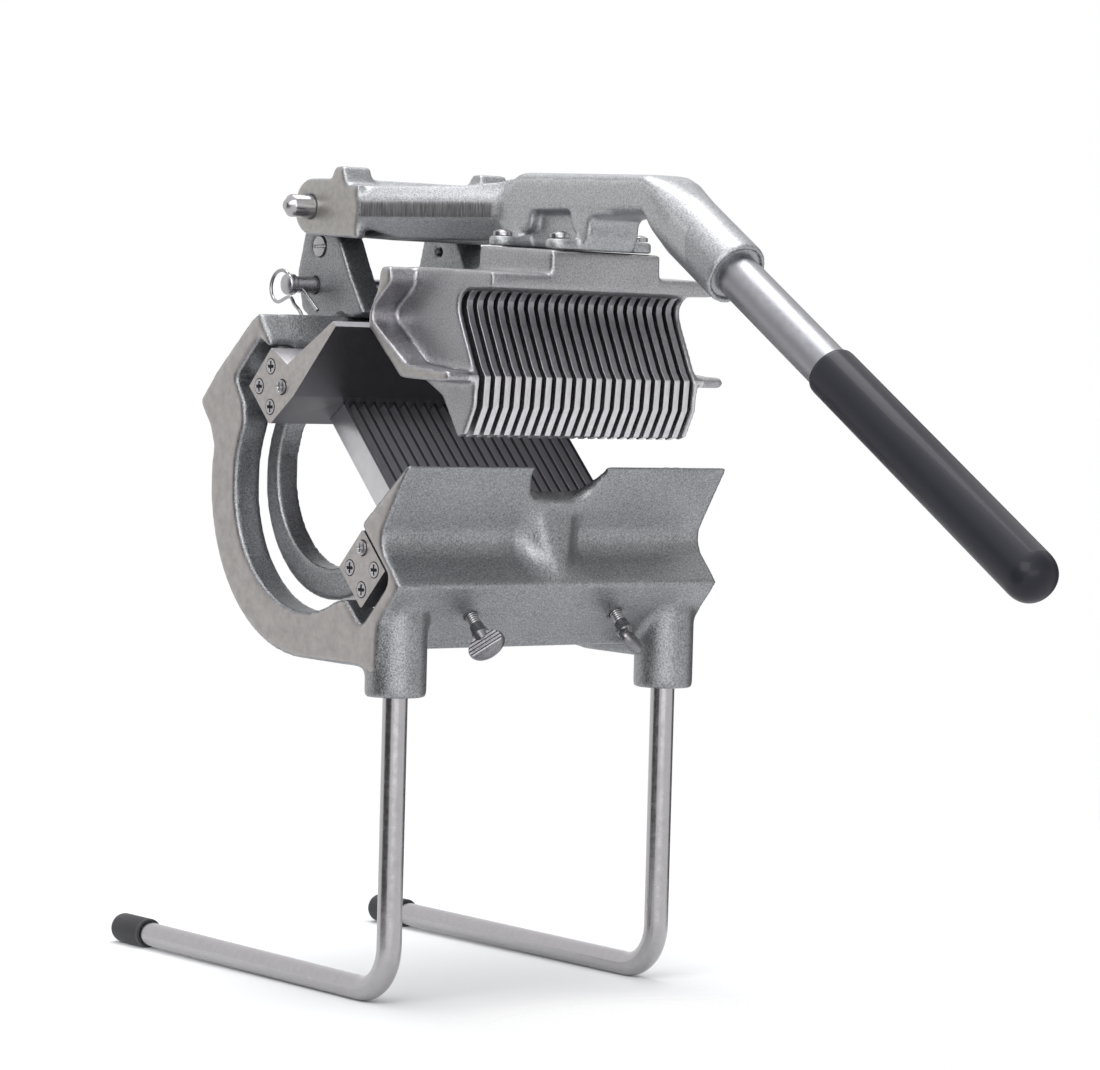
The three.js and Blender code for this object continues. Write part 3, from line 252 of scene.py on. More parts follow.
def metal(name, colour_low, colour_high, roughness, grain_mm, grain_depth, mottle=0.3, tooled=()):
    """A bare metal: a fine grain in tone, height and gloss over a slow mottle between two colours. A
    tooled place lies within limits along X, Y or Z, in millimetres from the frame's origin, and faces
    one axis by a share between two limits. There the metal has its own colours and gloss, and a grain
    drawn out by a streak along X, Y and Z."""
    MOTTLE_MM, TOOL_MARK_DEPTH = 22.0, 0.02
    material = bpy.data.materials.new(name)
    material.use_nodes = True
    tree = material.node_tree
    tree.nodes.clear()
    where = add(tree, "ShaderNodeTexCoord").outputs["Object"]
    slow = add(tree, "ShaderNodeTexNoise", values={
        "Vector": where, "Scale": 1000 / MOTTLE_MM, "Detail": 3.0, "Roughness": 0.55})
    grain = add(tree, "ShaderNodeTexNoise", values={
        "Vector": where, "Scale": 1000 / grain_mm, "Detail": 2.0, "Roughness": 0.6})
    fine = grain.outputs[0]
    drift = add(tree, "ShaderNodeMapRange", values={
        "Value": slow.outputs[0], "From Min": 0.3, "From Max": 0.7, "To Min": -mottle, "To Max": mottle})
    speck = add(tree, "ShaderNodeMapRange", values={
        "Value": fine, "From Min": 0.3, "From Max": 0.7, "To Min": 0.1, "To Max": 0.9})
    spread = add(tree, "ShaderNodeMath", {"operation": "ADD", "use_clamp": True}, {
        0: speck.outputs[0], 1: drift.outputs[0]}).outputs[0]
    colour = add(tree, "ShaderNodeMix", {"data_type": "RGBA"}, {
        0: spread, 6: linear(colour_low), 7: linear(colour_high)}).outputs[2]
    gloss = add(tree, "ShaderNodeMapRange", values={
        "Value": fine, "From Min": 0.3, "From Max": 0.7,
        "To Min": roughness - 0.06, "To Max": roughness + 0.06}).outputs[0]
    lift = add(tree, "ShaderNodeMath", {"operation": "MULTIPLY"}, {0: fine, 1: grain_depth}).outputs[0]
    if tooled:
        places = add(tree, "ShaderNodeSeparateXYZ", values={0: where})
        facing = add(tree, "ShaderNodeSeparateXYZ", values={
            0: add(tree, "ShaderNodeNewGeometry").outputs["True Normal"]})
    for within, (face, least, most), tool_low, tool_high, tool_rough, streak in tooled:
        turned_to = add(tree, "ShaderNodeMath", {"operation": "ABSOLUTE"}, {0: facing.outputs[face]})
        mask = add(tree, "ShaderNodeMath", {"operation": "COMPARE"}, {
            0: turned_to.outputs[0], 1: (least + most) / 2, 2: (most - least) / 2}).outputs[0]
        for axis, (low, high) in within.items():
            # Compare takes a middle and a half width, here in metres
            out = add(tree, "ShaderNodeMath", {"operation": "ABSOLUTE"}, {0: places.outputs[axis]})
            inside = add(tree, "ShaderNodeMath", {"operation": "COMPARE"}, {
                0: out.outputs[0], 1: (low + high) / 2000, 2: (high - low) / 2000})
            mask = add(tree, "ShaderNodeMath", {"operation": "MULTIPLY"}, {
                0: inside.outputs[0], 1: mask}).outputs[0]
        drawn = add(tree, "ShaderNodeMapping", values={
            "Vector": where, "Scale": [1000 / mm for mm in streak]})
        marks = add(tree, "ShaderNodeTexNoise", values={
            "Vector": drawn.outputs[0], "Scale": 1.0, "Detail": 2.0, "Roughness": 0.6})
        tone = add(tree, "ShaderNodeMapRange", values={
            "Value": marks.outputs[0], "From Min": 0.3, "From Max": 0.7})
        pale = add(tree, "ShaderNodeMix", {"data_type": "RGBA"}, {
            0: tone.outputs[0], 6: linear(tool_low), 7: linear(tool_high)})
        colour = add(tree, "ShaderNodeMix", {"data_type": "RGBA"}, {
            0: mask, 6: colour, 7: pale.outputs[2]}).outputs[2]
        gloss = add(tree, "ShaderNodeMix", values={0: mask, 2: gloss, 3: tool_rough}).outputs[0]
        shallow = add(tree, "ShaderNodeMath", {"operation": "MULTIPLY"}, {
            0: marks.outputs[0], 1: TOOL_MARK_DEPTH})
        lift = add(tree, "ShaderNodeMix", values={0: mask, 2: lift, 3: shallow.outputs[0]}).outputs[0]
    relief = add(tree, "ShaderNodeBump", values={"Strength": 1.0, "Distance": 0.001, "Height": lift})
    shader = add(tree, "ShaderNodeBsdfPrincipled", values={
        "Base Color": colour, "Metallic": 1.0, "Roughness": gloss, "Normal": relief.outputs[0]})
    add(tree, "ShaderNodeOutputMaterial", values={"Surface": shader.outputs[0]})
    return material


# Sand-cast aluminium is satin and grainy where the sand left it, and paler and flat where a cutter has
# been over it, on the outsides of the end plates. The real grain is about 0.5 mm, drawn at 0.9 mm so
# that it shows
sand_cast = metal("sand_cast_aluminium", "6a6b6e", "b0b1b4", 0.41, 0.9, 0.16, mottle=0.06, tooled=[
    ({"X": (101.6, 110.0)}, ("X", 0.9, 1.1), "a39f9e", "b4b0ae", 0.4, (5.0, 5.0, 5.0))])

# The blades lean back at 45 degrees, and the frame's seats lean with them. A place there is measured
# from the lower bar's centre, along the slope and proud of it towards the food
LOWER_BAR = np.array([0.0, 9.5, 63.2])
ALONG = np.array([0.0, math.sqrt(0.5), math.sqrt(0.5)])
PROUD = np.array([0.0, -math.sqrt(0.5), math.sqrt(0.5)])
UPPER_BAR_ALONG = 123.0


def frame_ease(places):
    """How far each place of the frame may move: 0.45 at the end plates, the cut seats round the bars and
    the top of the wing, 0.1 at the wing's nicks and the rib's crest, over 1 on the rib's flanks, and
    elsewhere 1."""
    x, along, proud = np.abs(places[:, 0]), (places - LOWER_BAR) @ ALONG, (places - LOWER_BAR) @ PROUD
    by_bar = (np.abs(along) < 17) | (np.abs(along - UPPER_BAR_ALONG) < 19)
    seats = (x > 84) & (np.abs(proud) < 17) & by_bar
    wing_top = (proud > 61.04) & (along < 30)
    behind = (x > 90) & (places[:, 1] > 22)
    nick = wing_top & (np.abs(x - 65) < 5)
    rib = (x < 20) & (proud > 14) & (proud < 44) & (along < 12)
    crest = rib & (x <= 2.6)
    kept = seats | wing_top | (x > 100.5) | behind
    return np.select([nick | crest, rib, kept], [0.1, 2.6, 0.45], 1.0)


cast_skin("frame_casting", sand_cast, "frame", 1.4, 9, frame_ease)

# Legs: one stainless rod of 12.7 mm each, plugged into its boss, bent to a right angle on the way down
# and laid back on the bench. It is drawn 0.05 mm thinner all round, so that no two skins share a face


def skin(name, rings, material, body, stands_for):
    """A closed surface over rings of points, rows along the piece and columns round it. Each four
    neighbours make a face, both end rings are filled, and the whole is turned outwards by the sign of
    its volume, the sum over faces of a . (b x c) / 6."""
    rings = np.asarray(rings, float)
    rows, columns = rings.shape[:2]
    index = np.arange(rows * columns).reshape(rows, columns)
    beside = np.roll(index, -1, axis=1)
    quads = np.stack([index[:-1], beside[:-1], beside[1:], index[1:]], axis=-1).reshape(-1, 4)
    points = rings.reshape(-1, 3)
    a, b, c, d = (points[quads[:, k]] - points.mean(axis=0) for k in range(4))
    volume = (np.einsum("ij,ij->i", a, np.cross(b, c)) + np.einsum("ij,ij->i", a, np.cross(c, d))).sum()
    faces = quads.tolist() + [index[0, ::-1].tolist(), index[-1].tolist()]
    if volume < 0:
        faces = [face[::-1] for face in faces]
    mesh = bpy.data.meshes.new(name)
    mesh.from_pydata(((points + SHIFT) / 1000).tolist(), [], faces)
    mesh.update()
    piece = finish_mesh(name, mesh, material, body, stands_for)
    mesh.set_sharp_from_angle(angle=math.radians(38))
    return piece


def round_path(path, radius, sides=48):
    """A round section carried along a path: centre + r cos(t) side + r sin(t) lift, where side is the
    tangent crossed with the X axis and lift is square to both."""
    tangent = np.gradient(path, axis=0)
    tangent /= np.linalg.norm(tangent, axis=1, keepdims=True)
    side_way = np.cross(tangent, (1.0, 0.0, 0.0))
    side_way /= np.linalg.norm(side_way, axis=1, keepdims=True)
    lift = np.cross(side_way, tangent)
    angle = np.linspace(0, 2 * np.pi, sides, endpoint=False)
    ring = np.cos(angle)[None, :, None] * side_way[:, None] + np.sin(angle)[None, :, None] * lift[:, None]
    return path[:, None] + radius * ring


LEG_X = 86.0
ROD_RADIUS = 6.3
LEG_BEND = 24.0
bend_turn = np.radians(np.linspace(180, 270, 25))
# Seen from the side, in Y and Z: down from the boss, round the bend, and back with a slight rise
leg_down = np.stack([np.zeros(12), np.linspace(34, -124.5, 12)], axis=1)
leg_round = np.array([LEG_BEND, -125.1]) + LEG_BEND * np.stack(
    [np.cos(bend_turn), np.sin(bend_turn)], axis=1)
leg_back = np.stack([np.linspace(25, 249.5, 16), np.linspace(-149.1, -147.52, 16)], axis=1)
leg_side = np.concatenate([leg_down, leg_round, leg_back])
# Drawn stainless rod is bright, with a fine brush along its length
drawn_steel = metal("drawn_stainless_rod", "aaa8aa", "b2b0b2", 0.22, 4.0, 0.0, mottle=0.1)
for label, x in (("left", -LEG_X), ("right", LEG_X)):
    path = np.insert(leg_side, 0, x, axis=1)
    skin("leg_rod_" + label, round_path(path, ROD_RADIUS), drawn_steel, "frame",
         ("leg_" + label,))

# Leg caps: dipped rubber sleeves pushed over the rear ends of the rods, so that they don't slide. Each
# has a rolled mouth, a fine groove behind it and a rounded end


def round_about(way):
    """A direction at length 1, with two others square to it and to each other."""
    way = np.asarray(way, float) / np.linalg.norm(way)
    helper = np.array([0.0, 0.0, 1.0]) if abs(way[2]) < 0.9 else np.array([1.0, 0.0, 0.0])
    first = np.cross(way, helper)
    first /= np.linalg.norm(first)
    return way, first, np.cross(way, first)


def spun(profile, start, way, sides=48, wave=None):
    """A turned form: each profile point (radius, distance) becomes a ring about the axis that leaves
    the start along the given way. A wave(angle, distance) may be added to the radius."""
    profile = np.asarray(profile, float)
    way, first, second = round_about(way)
    angle = np.linspace(0, 2 * np.pi, sides, endpoint=False)
    radius = np.maximum(profile[:, 0], 0.01)[:, None] * np.ones(sides)
    if wave is not None:
        radius = radius + wave(angle[None, :], profile[:, 1][:, None])
    ring = np.cos(angle)[None, :, None] * first + np.sin(angle)[None, :, None] * second
    return np.asarray(start, float) + radius[..., None] * ring + profile[:, 1][:, None, None] * way


def plain(name, colour, colour_worn, roughness, grain_mm, grain_depth, shine, sheen_coat=0.0):
    """A plastic or rubber skin: nearly one colour, with a slow drift towards a second and a low grain."""
    DRIFT_MM = 25.0
    material = bpy.data.materials.new(name)
    material.use_nodes = True
    tree = material.node_tree
    tree.nodes.clear()
    where = add(tree, "ShaderNodeTexCoord")
    drift = add(tree, "ShaderNodeTexNoise", values={
        "Vector": where.outputs["Object"], "Scale": 1000 / DRIFT_MM, "Detail": 3.0})
    grain = add(tree, "ShaderNodeTexNoise", values={
        "Vector": where.outputs["Object"], "Scale": 1000 / grain_mm, "Detail": 1.0})
    tone = add(tree, "ShaderNodeMix", {"data_type": "RGBA"}, {
        0: drift.outputs[0], 6: linear(colour), 7: linear(colour_worn)})
    relief = add(tree, "ShaderNodeBump", values={
        "Strength": 0.4, "Distance": grain_depth / 1000, "Height": grain.outputs[0]})
    shader = add(tree, "ShaderNodeBsdfPrincipled", values={
        "Base Color": tone.outputs[2], "Metallic": 0.0, "Roughness": roughness, "IOR": 1.5,
        "Specular IOR Level": shine, "Coat Weight": sheen_coat, "Coat Roughness": 0.05,
        "Normal": relief.outputs[0]})
    add(tree, "ShaderNodeOutputMaterial", values={"Surface": shader.outputs[0]})
    return material


# Dipped rubber is dark and dull, with a faint pebble of about 1 mm
grey_rubber = plain("dipped_grey_rubber", "343438", "3c3c40", 0.5, 1.2, 0.03, shine=0.25)
tip_turn = np.radians(np.linspace(0, 90, 12))
cap_profile = np.concatenate([
    [(6.45, 0.4), (6.6, 0.0), (7.5, 0.0), (7.86, 0.4), (7.86, 2.2), (7.7, 2.6), (7.86, 3.0),
     (7.86, 25.5)],
    np.stack([3.4 + 4.46 * np.cos(tip_turn), 25.5 + 4.4 * np.sin(tip_turn)], axis=1), [(0.0, 29.95)]])
for label, x in (("left", -LEG_X), ("right", LEG_X)):
    rings = spun(cap_profile, (x, 223.9, -147.515), (0, 1, 0), 64)
    skin("rubber_cap_" + label, rings, grey_rubber, "frame", ("leg_cap_" + label,))

# Blade cartridge bars: milled from solid, the lower one square and the upper one with its guide wing,
# and both slotted for the blades


def moulded(node_name, rounding_mm, material, body):
    """The solid of one node with its corners rounded: the triangles are merged, those that lie in one
    plane are fused, and each corner sharper than 26 degrees is cut back by the rounding."""
    corner = math.radians(26)
    work = merged(node_name)
    bmesh.ops.dissolve_limit(work, angle_limit=math.radians(0.4), verts=work.verts, edges=work.edges)
    mesh = bpy.data.meshes.new(node_name + "_finished")
    work.to_mesh(mesh)
    work.free()
    piece = finish_mesh(node_name + "_finished", mesh, material, body, (node_name,))
    mesh.set_sharp_from_angle(angle=corner)
    rounding = piece.modifiers.new("rounding", "BEVEL")
    rounding.width = rounding_mm / 1000
    rounding.segments = 3
    rounding.limit_method = "ANGLE"
    rounding.angle_limit = corner
    rounding.use_clamp_overlap = True
    rounding.miter_outer = "MITER_ARC"
    rounding.harden_normals = True
    return piece


def on_blades(x, along, proud):
    """A place on the blade plane: the lower bar's centre + along times the slope + proud off it."""
    return LOWER_BAR + x * np.array([1.0, 0.0, 0.0]) + along * ALONG + proud * PROUD


# Milled aluminium is smooth and pale, and flat in tone
milled_bar = metal("milled_aluminium_bar", "99989c", "a3a2a6", 0.4, 1.8, 0.01, mottle=0.1, tooled=[
    ({"X": (101.2, 110.0)}, ("X", 0.97, 1.1), "a6a2a1", "b6b2b0", 0.38, (3.0, 3.0, 3.0))])
upper_bar = moulded("upper_blade_bar", 0.8, milled_bar, "cartridge")
# The upper bar's underside is a little rougher, and painted darker as painted shade where it faces down
underside_shade = metal("bar_underside_painted_shade", "605f63", "6a696d", 0.45, 1.8, 0.01, mottle=0.1)
upper_bar.data.materials.append(underside_shade)
# Painted shade goes on the faces that are turned down the slope
facing = np.zeros(len(upper_bar.data.polygons) * 3)
upper_bar.data.polygons.foreach_get("normal", facing)
underside = (facing.reshape(-1, 3) @ -ALONG > 0.95).astype(int)
upper_bar.data.polygons.foreach_set("material_index", underside)
moulded("lower_blade_bar", 0.6, milled_bar, "cartridge")

# Screws in the bars' ends: four in a diamond, three sunk flush and one with a raised pan head, turned
# from stainless steel and pressed with cross recesses


def screw_head(centre, way, radius, rim, crown, recess, spin=0.0, sides=64):
    """A turned screw head: rings from the rim to the middle of a shallow dome, crown (1 - (r/R)^2) high,
    pressed in by a recess(x, y) in millimetres over its face."""
    way, first, second = round_about(way)
    share = np.concatenate([[1.0, 1.0, 0.985, 0.95], np.linspace(0.9, 0.03, 26)])
    angle = np.linspace(0, 2 * np.pi, sides, endpoint=False) + spin
    lie = radius * share[:, None]
    height = rim + crown * (1 - share[:, None] ** 2) - recess(lie * np.cos(angle), lie * np.sin(angle))
    height = np.broadcast_to(height, (len(share), sides)).copy()
    height[0], height[1] = 0.0, rim - 0.12 * radius
    ring = np.cos(angle)[:, None] * first + np.sin(angle)[:, None] * second
    return np.asarray(centre, float) + lie[..., None] * ring + height[..., None] * way


def cross_recess(x, y):
    """Depth of a cross recess: two slots 1.3 mm wide that shallow towards their ends, 2.9 mm out."""
    reach = np.clip(1 - np.hypot(x, y) / 2.9, 0, 1)
    wall = lambda v: np.clip((0.78 - np.abs(v)) / 0.18, 0, 1)
    return 1.3 * np.minimum(1, 2.6 * reach) * np.maximum(wall(x), wall(y))


# Painted shadow: a dark ring round each sunk head, where its cone leaves the countersink
cone_shadow = metal("countersink_shadow", "242426", "303032", 0.6, 1.5, 0.02)
# Turned stainless steel is bright and almost smooth
screw_steel = metal("turned_stainless_screw", "9d9c9f", "b0afb2", 0.26, 2.0, 0.01)
BAR_END, DIAMOND, HEAD_RADIUS = 101.5, 7.35, 3.8
SCREW_RING = [(4.15, 0.0), (4.25, 0.03), (4.2, 0.06), (3.6, 0.07)]
for bar, along0, proud0, raised in (("upper", UPPER_BAR_ALONG, 2.5, (-1, 1)),
                                    ("lower", 0.0, 0.0, (1, 1))):
    for label, way in (("left", -1.0), ("right", 1.0)):
        for corner, (u, w) in enumerate([(-1, 1), (1, 1), (1, -1), (-1, -1)]):
            is_pan = (u, w) == raised
            rim, crown = (1.4, 0.7) if is_pan else (0.2, 0.12)
            centre = on_blades(way * BAR_END, along0 + DIAMOND * u, proud0 + DIAMOND * w)
            rings = screw_head(centre, (way, 0, 0), HEAD_RADIUS, rim, crown, cross_recess,
                               spin=0.5 + corner * 0.9 + way)
            # The painted shadow ring, laid round each head
            edge = spun(SCREW_RING, centre, (way, 0, 0))
            skin(f"{bar}_{label}_screw_edge_{corner + 1}", edge, cone_shadow, "cartridge",
                 ())
            node_names = (bar + "_bar_screw_" + label,) if is_pan else ()
            kind = "pan" if is_pan else "sunk"
            skin(f"{bar}_{label}_{kind}_screw_{corner + 1}", rings, screw_steel, "cartridge",
                 node_names)

# Cartridge arms: curved flat castings behind the blades that hold the two bars apart, so that the whole
# cartridge slides out in one
for label in ("left", "right"):
    cast_skin("cartridge_arm_" + label, sand_cast, "cartridge", 1.2, 5)

# Blades: 22 strips of hardened steel, 0.8 mm thick, slotted into both bars and ground to an edge on the
# side that meets the food. The ground bevels are painted dark, as painted shade for the dark lines between
# the blades, and the outermost sides are paler and glossier
blade_steel = metal("hardened_blade_steel", "bfbec3", "c7c6cb", 0.5, 2.5, 0.002, mottle=0.1, tooled=[
    ({"X": (66.9, 68.0)}, ("X", 0.99, 1.1), "c6c6c9", "d0d0d3", 0.28, (2.0, 9.0, 9.0)),
    # Painted shade: the ground bevels are painted dark
    ({"X": (0.0, 68.0)}, ("X", 0.9, 0.989), "6b6a6f", "737277", 0.5, (2.0, 9.0, 9.0))])
BLADES, BLADE_PITCH = 22, 6.35
BLADE_ENDS = (8.2, 114.8)
# One blade's section: across its thickness, and proud of the blade plane up to the edge
blade_section = [(-0.4, -5.6), (0.4, -5.6), (0.4, 8.6), (0.08, 10.15), (-0.08, 10.15), (-0.4, 8.6)]
for i in range(BLADES):
    x = (i - (BLADES - 1) / 2) * BLADE_PITCH
    rings = np.array([[on_blades(x + s, u, w) for s, w in blade_section] for u in BLADE_ENDS])
    skin(f"ground_blade_{i + 1:02d}", rings, blade_steel, "cartridge",
         (f"blade_{i + 1:02d}",))

# Thumb screws: turned stainless steel, with a thread, a shoulder and an oval paddle that is grooved for
# the fingers, apart from a plain crescent at its free side. They push the cartridge into its seats
THUMB_X, THUMB_PROUD = 46.4, -4.0
THREAD_PITCH = 1.25
THREAD_STEPS = 172
PADDLE_WIDE, PADDLE_LONG, RIDGE_PITCH = 9.9, 6.9, 1.9


def thread(angle, far):
    """A thread's height at an angle and a distance: a triangle wave 0.32 mm high that climbs one pitch
    with each turn."""
    return 0.32 * np.abs(((far / THREAD_PITCH - angle / (2 * np.pi)) % 1) * 2 - 1) - 0.3


thread_profile = np.stack([np.full(THREAD_STEPS, 3.25), np.linspace(0, 21.5, THREAD_STEPS)], axis=1)
shoulder = [(3.0, 20.8), (3.5, 21.0), (3.6, 22.0), (3.8, 24.0), (4.7, 27.0), (3.2, 30.5)]
# Dull stainless steel, darker than the other screws, with fine marks of the tool
dull_steel = metal("dull_thumb_screw", "77767a", "8a898c", 0.3, 1.6, 0.015)
for label, way, tilt in (("left", -1.0, 52.0), ("right", 1.0, -32.0)):
    body = "thumb_screw_" + label
    tip = on_blades(way * THUMB_X, -14.3, THUMB_PROUD)
    rings = spun(thread_profile, tip, -ALONG, 40, wave=thread)
    skin("thumb_screw_thread_" + label, rings, screw_steel, body, ())
    rings = spun(shoulder, tip, -ALONG, 40)
    skin("thumb_screw_shoulder_" + label, rings, dull_steel, body, ())
    turn = math.radians(tilt)
    wide = np.array([math.cos(turn), 0.0, 0.0]) + math.sin(turn) * PROUD
    thick = np.array([-math.sin(turn), 0.0, 0.0]) + math.cos(turn) * PROUD
    middle = on_blades(way * THUMB_X, -42.3, THUMB_PROUD) - ALONG * 6.0
    # The paddle: reach and angle are polar on the oval, from the middle of one face round the rim to the
    # middle of the other, and ridges stand on the half next to the thread
    reach = np.concatenate([np.linspace(0.03, 0.93, 20), 0.93 + 0.07 * np.cos(np.linspace(-1.4, 1.4, 9)),
                            np.linspace(0.93, 0.03, 20)])
    rise = np.concatenate([np.full(20, -2.2), 2.0 * np.sin(np.linspace(-1.4, 1.4, 9)), np.full(20, 2.2)])
    angle = np.linspace(0, 2 * np.pi, 96, endpoint=False)
    spread_x = PADDLE_WIDE * reach[:, None] * np.cos(angle)
    spread_y = PADDLE_LONG * reach[:, None] * np.sin(angle)
    ridge = np.clip(np.cos(2 * np.pi * spread_y / RIDGE_PITCH) * 1.6, -1, 1)
    ridge = ridge * np.clip((spread_y + 2.6) / 0.4, 0, 1)
    high = rise[:, None] + 0.17 * ridge * np.sign(rise)[:, None] * (reach[:, None] < 0.95)
    rings = middle + spread_x[..., None] * wide + spread_y[..., None] * ALONG + high[..., None] * thick
    skin("thumb_screw_head_" + label, rings, dull_steel, body, ("thumb_screw_" + label,))

# Hinge bracket: two ears on a web that carry the hinge rod, cast in sand as the frame is, with the same
# skin. The pin fastens it to the frame's lugs
cast_skin("hinge_bracket", sand_cast, "frame", 1.3, 10)

# Hinge rod and its lock screws: a ground steel rod with long chamfers, pushed through both ears and held
# by a slotted screw in each
HINGE_Y, HINGE_Z = 133.7, 246.9
LOCK_Y, LOCK_Z, LOCK_HEAD = 133.2, 226.2, 5.35
rod_profile = [(0.0, 0.0), (2.1, 0.0), (2.45, 0.15), (5.75, 3.35), (6.0, 3.9), (6.0, 134.1),
               (5.75, 134.65), (2.45, 137.85), (2.1, 138.0), (0.0, 138.0)]
skin("ground_hinge_rod", spun(rod_profile, (-69, HINGE_Y, HINGE_Z), (1, 0, 0), 64), drawn_steel, "frame",
     ("hinge_rod",))


def slot_recess(x, y):
    """Depth of a screwdriver slot 1.3 mm wide and 1.2 mm deep, straight across the head."""
    return 1.2 * np.clip((0.75 - np.abs(y)) / 0.15, 0, 1)


for label, way in (("left", -1.0), ("right", 1.0)):
    rings = screw_head((way * 43.0, LOCK_Y, LOCK_Z), (way, 0, 0), LOCK_HEAD, 4.3, 0.25, slot_recess,
                       spin=0.15)
    skin("slotted_lock_screw_" + label, rings, screw_steel, "frame",
         ("lock_screw_" + label,))

# Pin: a stainless pin turned with a small head, pushed through the frame's lugs and the bracket, and
# cross-drilled near the head for its spring clip
PIN_Y, PIN_Z = 137.6, 205.7
pin_profile = [(0.0, 0.0), (4.4, 0.0), (5.3, 0.5), (5.6, 1.2), (5.6, 4.6), (5.3, 5.0), (4.45, 5.05),
               (4.45, 113.5), (3.6, 115.8), (0.0, 115.8)]
skin("turned_pin", spun(pin_profile, (-65, PIN_Y, PIN_Z), (1, 0, 0), 64), screw_steel, "pin",
     ("clevis_pin",))

# Spring clip: one bent stainless wire, with a straight leg through the pin, an open ring behind it and a
# second leg that springs back past the pin's head
WIRE_RADIUS = 0.95
clip_tilt = math.radians(38)
clip_along = np.array([0.0, -math.cos(clip_tilt), -math.sin(clip_tilt)])
clip_across = np.array([0.0, clip_along[2], -clip_along[1]])
ring_turn = np.radians(np.linspace(75, 325, 17))
knots = np.concatenate([
    [(-56, 22, 0), (-56, 11, 0), (-56, 3, 0), (-56, -3, 0), (-56, -6.5, 0)],
    np.stack([np.linspace(-56, -58.6, 17), -12.3 + 8.4 * np.cos(ring_turn),
              -10.6 + 8.4 * np.sin(ring_turn)], axis=1),
    [(-58.6, 0, -8.2), (-58.6, 6, -8.6), (-58.6, 12, -8.2), (-58.6, 17, -9.4)]])
knots = (np.array([0.0, PIN_Y, PIN_Z]) + knots[:, :1] * np.array([1.0, 0.0, 0.0])
         + knots[:, 1:2] * clip_along + knots[:, 2:3] * clip_across)
# Points between the knots: the cubic through each four neighbours, 0.5 (2 p1 + (p2 - p0) t + ...)
padded = np.concatenate([[2 * knots[0] - knots[1]], knots, [2 * knots[-1] - knots[-2]]])
step = np.linspace(0, 1, 8, endpoint=False)[None, :, None]
p0, p1, p2, p3 = (padded[k:len(padded) - 3 + k][:, None] for k in range(4))
wire = 0.5 * (2 * p1 + (p2 - p0) * step + (2 * p0 - 5 * p1 + 4 * p2 - p3) * step ** 2
              + (3 * p1 - p0 - 3 * p2 + p3) * step ** 3)
wire = np.concatenate([wire.reshape(-1, 3), knots[-1:]])
skin("bent_spring_clip", round_path(wire, WIRE_RADIUS, 16), screw_steel, "clip",
     ("spring_clip",))

# Lever casting: a sand-cast fork on the hinge rod that narrows to one arm, with a foot for the pusher
# and a round socket for the handle. Its satin skin is paler than the frame's. The fork's ends are
# milled, the sideways faces of the arm and foot are paler, and file marks run down the fork's legs
lever_cast = metal("sand_cast_lever", "86878a", "c1c2c5", 0.47, 0.9, 0.14, mottle=0.06, tooled=[
    ({"X": (53.2, 56.0)}, ("X", 0.97, 1.1), "a5a29f", "b4b1ad", 0.4, (3.0, 3.0, 3.0)),
    ({"X": (0.0, 40.0), "Y": (0.0, 75.0)}, ("X", 0.9, 1.1), "a0a1a3", "d0d1d3", 0.47, (0.9, 0.9, 0.9)),
    ({"X": (0.0, 52.5), "Y": (76.0, 172.0), "Z": (396.3, 404.7)},
     ("Z", 0.0, 0.3), "8e8d90", "cdcccf", 0.34, (0.8, 0.8, 9.0))])
cast_skin("lever_casting", lever_cast, "lever", 1.2, 9)

# Pusher bolts: stainless screws with low button heads and hexagon sockets, which go down through the
# four bosses of the foot and hold the pusher under it


def hex_recess(x, y):
    """Depth of a hexagon socket 5 mm across flats: the largest of three projections is the distance."""
    turns = np.radians([0.0, 60.0, 120.0])
    far = np.max([np.abs(x * np.cos(t) + y * np.sin(t)) for t in turns], axis=0)
    return 1.8 * np.clip((2.55 - far) / 0.15, 0, 1)


# Each bolt's place, and the height of the boss that its head sits on
BOLT_HEAD = 5.2
for label, x, y, seat in (("back_left", -25, 2, 231.3), ("back_right", 25, 2, 231.3),
                          ("front_left", -25, -44.5, 229.7), ("front_right", 25, -44.5, 229.7)):
    rings = screw_head((x, y, seat), (0, 0, 1), BOLT_HEAD, 1.9, 1.7, hex_recess, sides=96)
    skin("button_screw_" + label, rings, screw_steel, "lever", ("pusher_bolt_" + label,))

# Handle: a plated steel tube pressed into the lever's socket, with a vinyl grip dipped over its outer
# two thirds. It hangs down to the front, 33 degrees below level
drop = math.radians(33)
down = np.array([0.0, -math.cos(drop), -math.sin(drop)])
mouth = np.array([0.0, -152.0, 211.8])
tube_profile = [(9.4, -37.0), (10.6, -38.0), (11.0, -37.6), (11.0, 240.4), (9.4, 240.4)]
# Plating over a drawn tube is satin and even, a little greyer than the rods
satin_plate = metal("satin_plated_tube", "97979c", "9d9da2", 0.38, 4.0, 0.0, mottle=0.1)
# The socket's mouth closes on the tube a little way in
mouth_face = [(10.9, -5.5), (10.95, -1.7), (12.4, -1.5), (13.95, -2.0), (13.95, -5.5)]
skin("socket_mouth_face", spun(mouth_face, mouth, down, 64), lever_cast, "lever", ())
skin("plated_handle_tube", spun(tube_profile, mouth, down, 96), satin_plate, "lever",
     ("handle_tube",))
grip_turn = np.radians(np.linspace(0, 89.5, 24))
# The grip's rolled start, its straight side and its rounded end, as radius and distance from the mouth
GRIP, GRIP_END = 12.8, 240.7
grip_profile = np.concatenate([
    [(11.1, 82.6), (11.5, 82.0), (12.2, 82.1), (12.6, 82.9), (12.75, 84.5), (GRIP, 150.0),
     (GRIP, GRIP_END)],
    np.stack([GRIP * np.cos(grip_turn) ** 0.85, GRIP_END + GRIP * np.sin(grip_turn) ** 0.85], axis=1)])
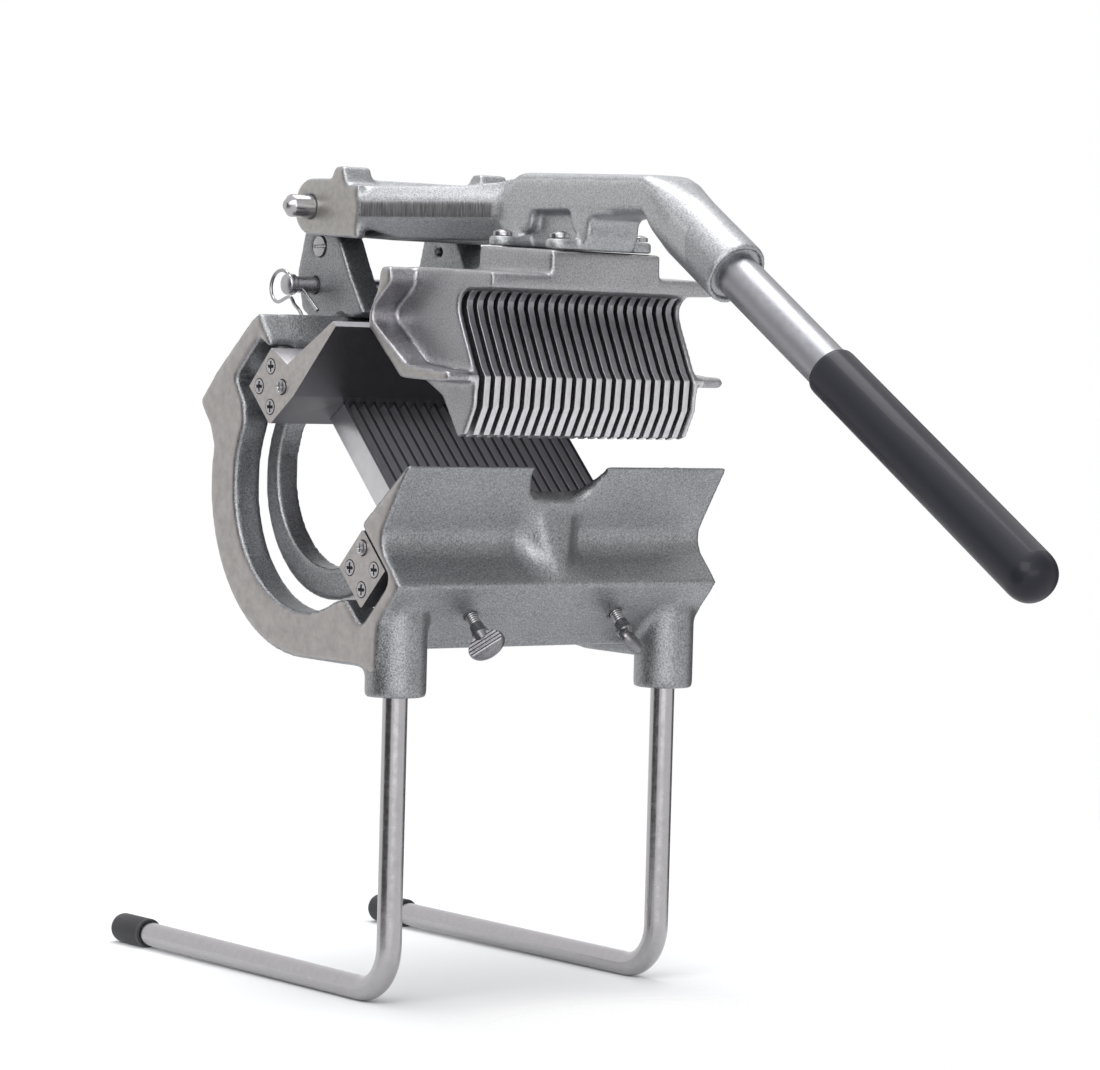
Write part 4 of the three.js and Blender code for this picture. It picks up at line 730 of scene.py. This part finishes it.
# Dipped vinyl is near black with a soft shine, and a thin clear skin that catches the lamp overhead
black_vinyl = plain("dipped_black_vinyl", "1d1d26", "22222b", 0.42, 6.0, 0.01, shine=0.2, sheen_coat=0.12)
skin("dipped_grip", spun(grip_profile, mouth, down, 96), black_vinyl, "lever",
     ("handle_grip",))

# Pusher: an aluminium casting with a pad and side flanges, bolted under the lever's foot and milled into
# 21 fins that pass between the blades. The fins carry a painted highlight low down, where they face the
# front lamp, and painted shade, greyer, near the pad, where they face down
fin_metal = metal("milled_pusher_casting", "838286", "bcbbbe", 0.4, 0.9, 0.1, mottle=0.06, tooled=[
    ({"X": (87.6, 95.0)}, ("X", 0.97, 1.1), "a09d9b", "adaaa7", 0.4, (3.0, 3.0, 3.0)),
    # Painted highlight: the lower fins, which face the front lamp, are painted pale
    ({"X": (0.0, 75.0), "Z": (280.0, 316.0)}, ("X", 0.0, 0.5), "c0bfc3", "d2d1d4", 0.3, (1.5, 1.5, 5.0)),
    # Painted shade: the upper fins, which face down, are painted greyer
    ({"X": (0.0, 75.0), "Z": (316.0, 357.0)}, ("X", 0.0, 0.5), "85848a", "97969b", 0.34, (1.5, 1.5, 5.0))])
skin_block = cast_skin("pusher_block", fin_metal, "lever", 1.65, 6, finer_x=2.0)
# The fins were cut after casting, so the softened ones come off the skin and crisp ones take their place:
# the sides and edges of the solid between its end plates, up into its top plate
PLATE_BOTTOM, END_PLATE = 203.2, 67.6


def among_fins(face, above_mm):
    """Whether a face lies between the end plates and below a level above the top plate's underside."""
    return all(abs(v.co.x) * 1000 < END_PLATE and v.co.z * 1000 - SHIFT[2] < PLATE_BOTTOM + above_mm
               for v in face.verts)


work = bmesh.new()
work.from_mesh(skin_block.data)
soft = [face for face in work.faces if among_fins(face, -0.9)]
bmesh.ops.delete(work, geom=soft, context="FACES")
work.to_mesh(skin_block.data)
work.free()
work = merged("pusher_block")
others = [face for face in work.faces if not among_fins(face, 2.4)
          or abs(face.normal.z) > 0.99
          and abs(face.calc_center_median().z * 1000 - SHIFT[2] - PLATE_BOTTOM) < 0.1]
bmesh.ops.delete(work, geom=others, context="FACES")
bmesh.ops.dissolve_limit(work, angle_limit=math.radians(0.4), verts=work.verts, edges=work.edges)
fins = bpy.data.meshes.new("cut_fins")
work.to_mesh(fins)
work.free()
crisp = finish_mesh("cut_fins", fins, fin_metal, "lever", ())
fins.set_sharp_from_angle(angle=math.radians(24))
edge = crisp.modifiers.new("burr taken off", "BEVEL")
edge.width = 0.45 / 1000
edge.segments = 2
edge.limit_method = "ANGLE"
edge.angle_limit = math.radians(40)
edge.use_clamp_overlap = False
edge.harden_normals = True
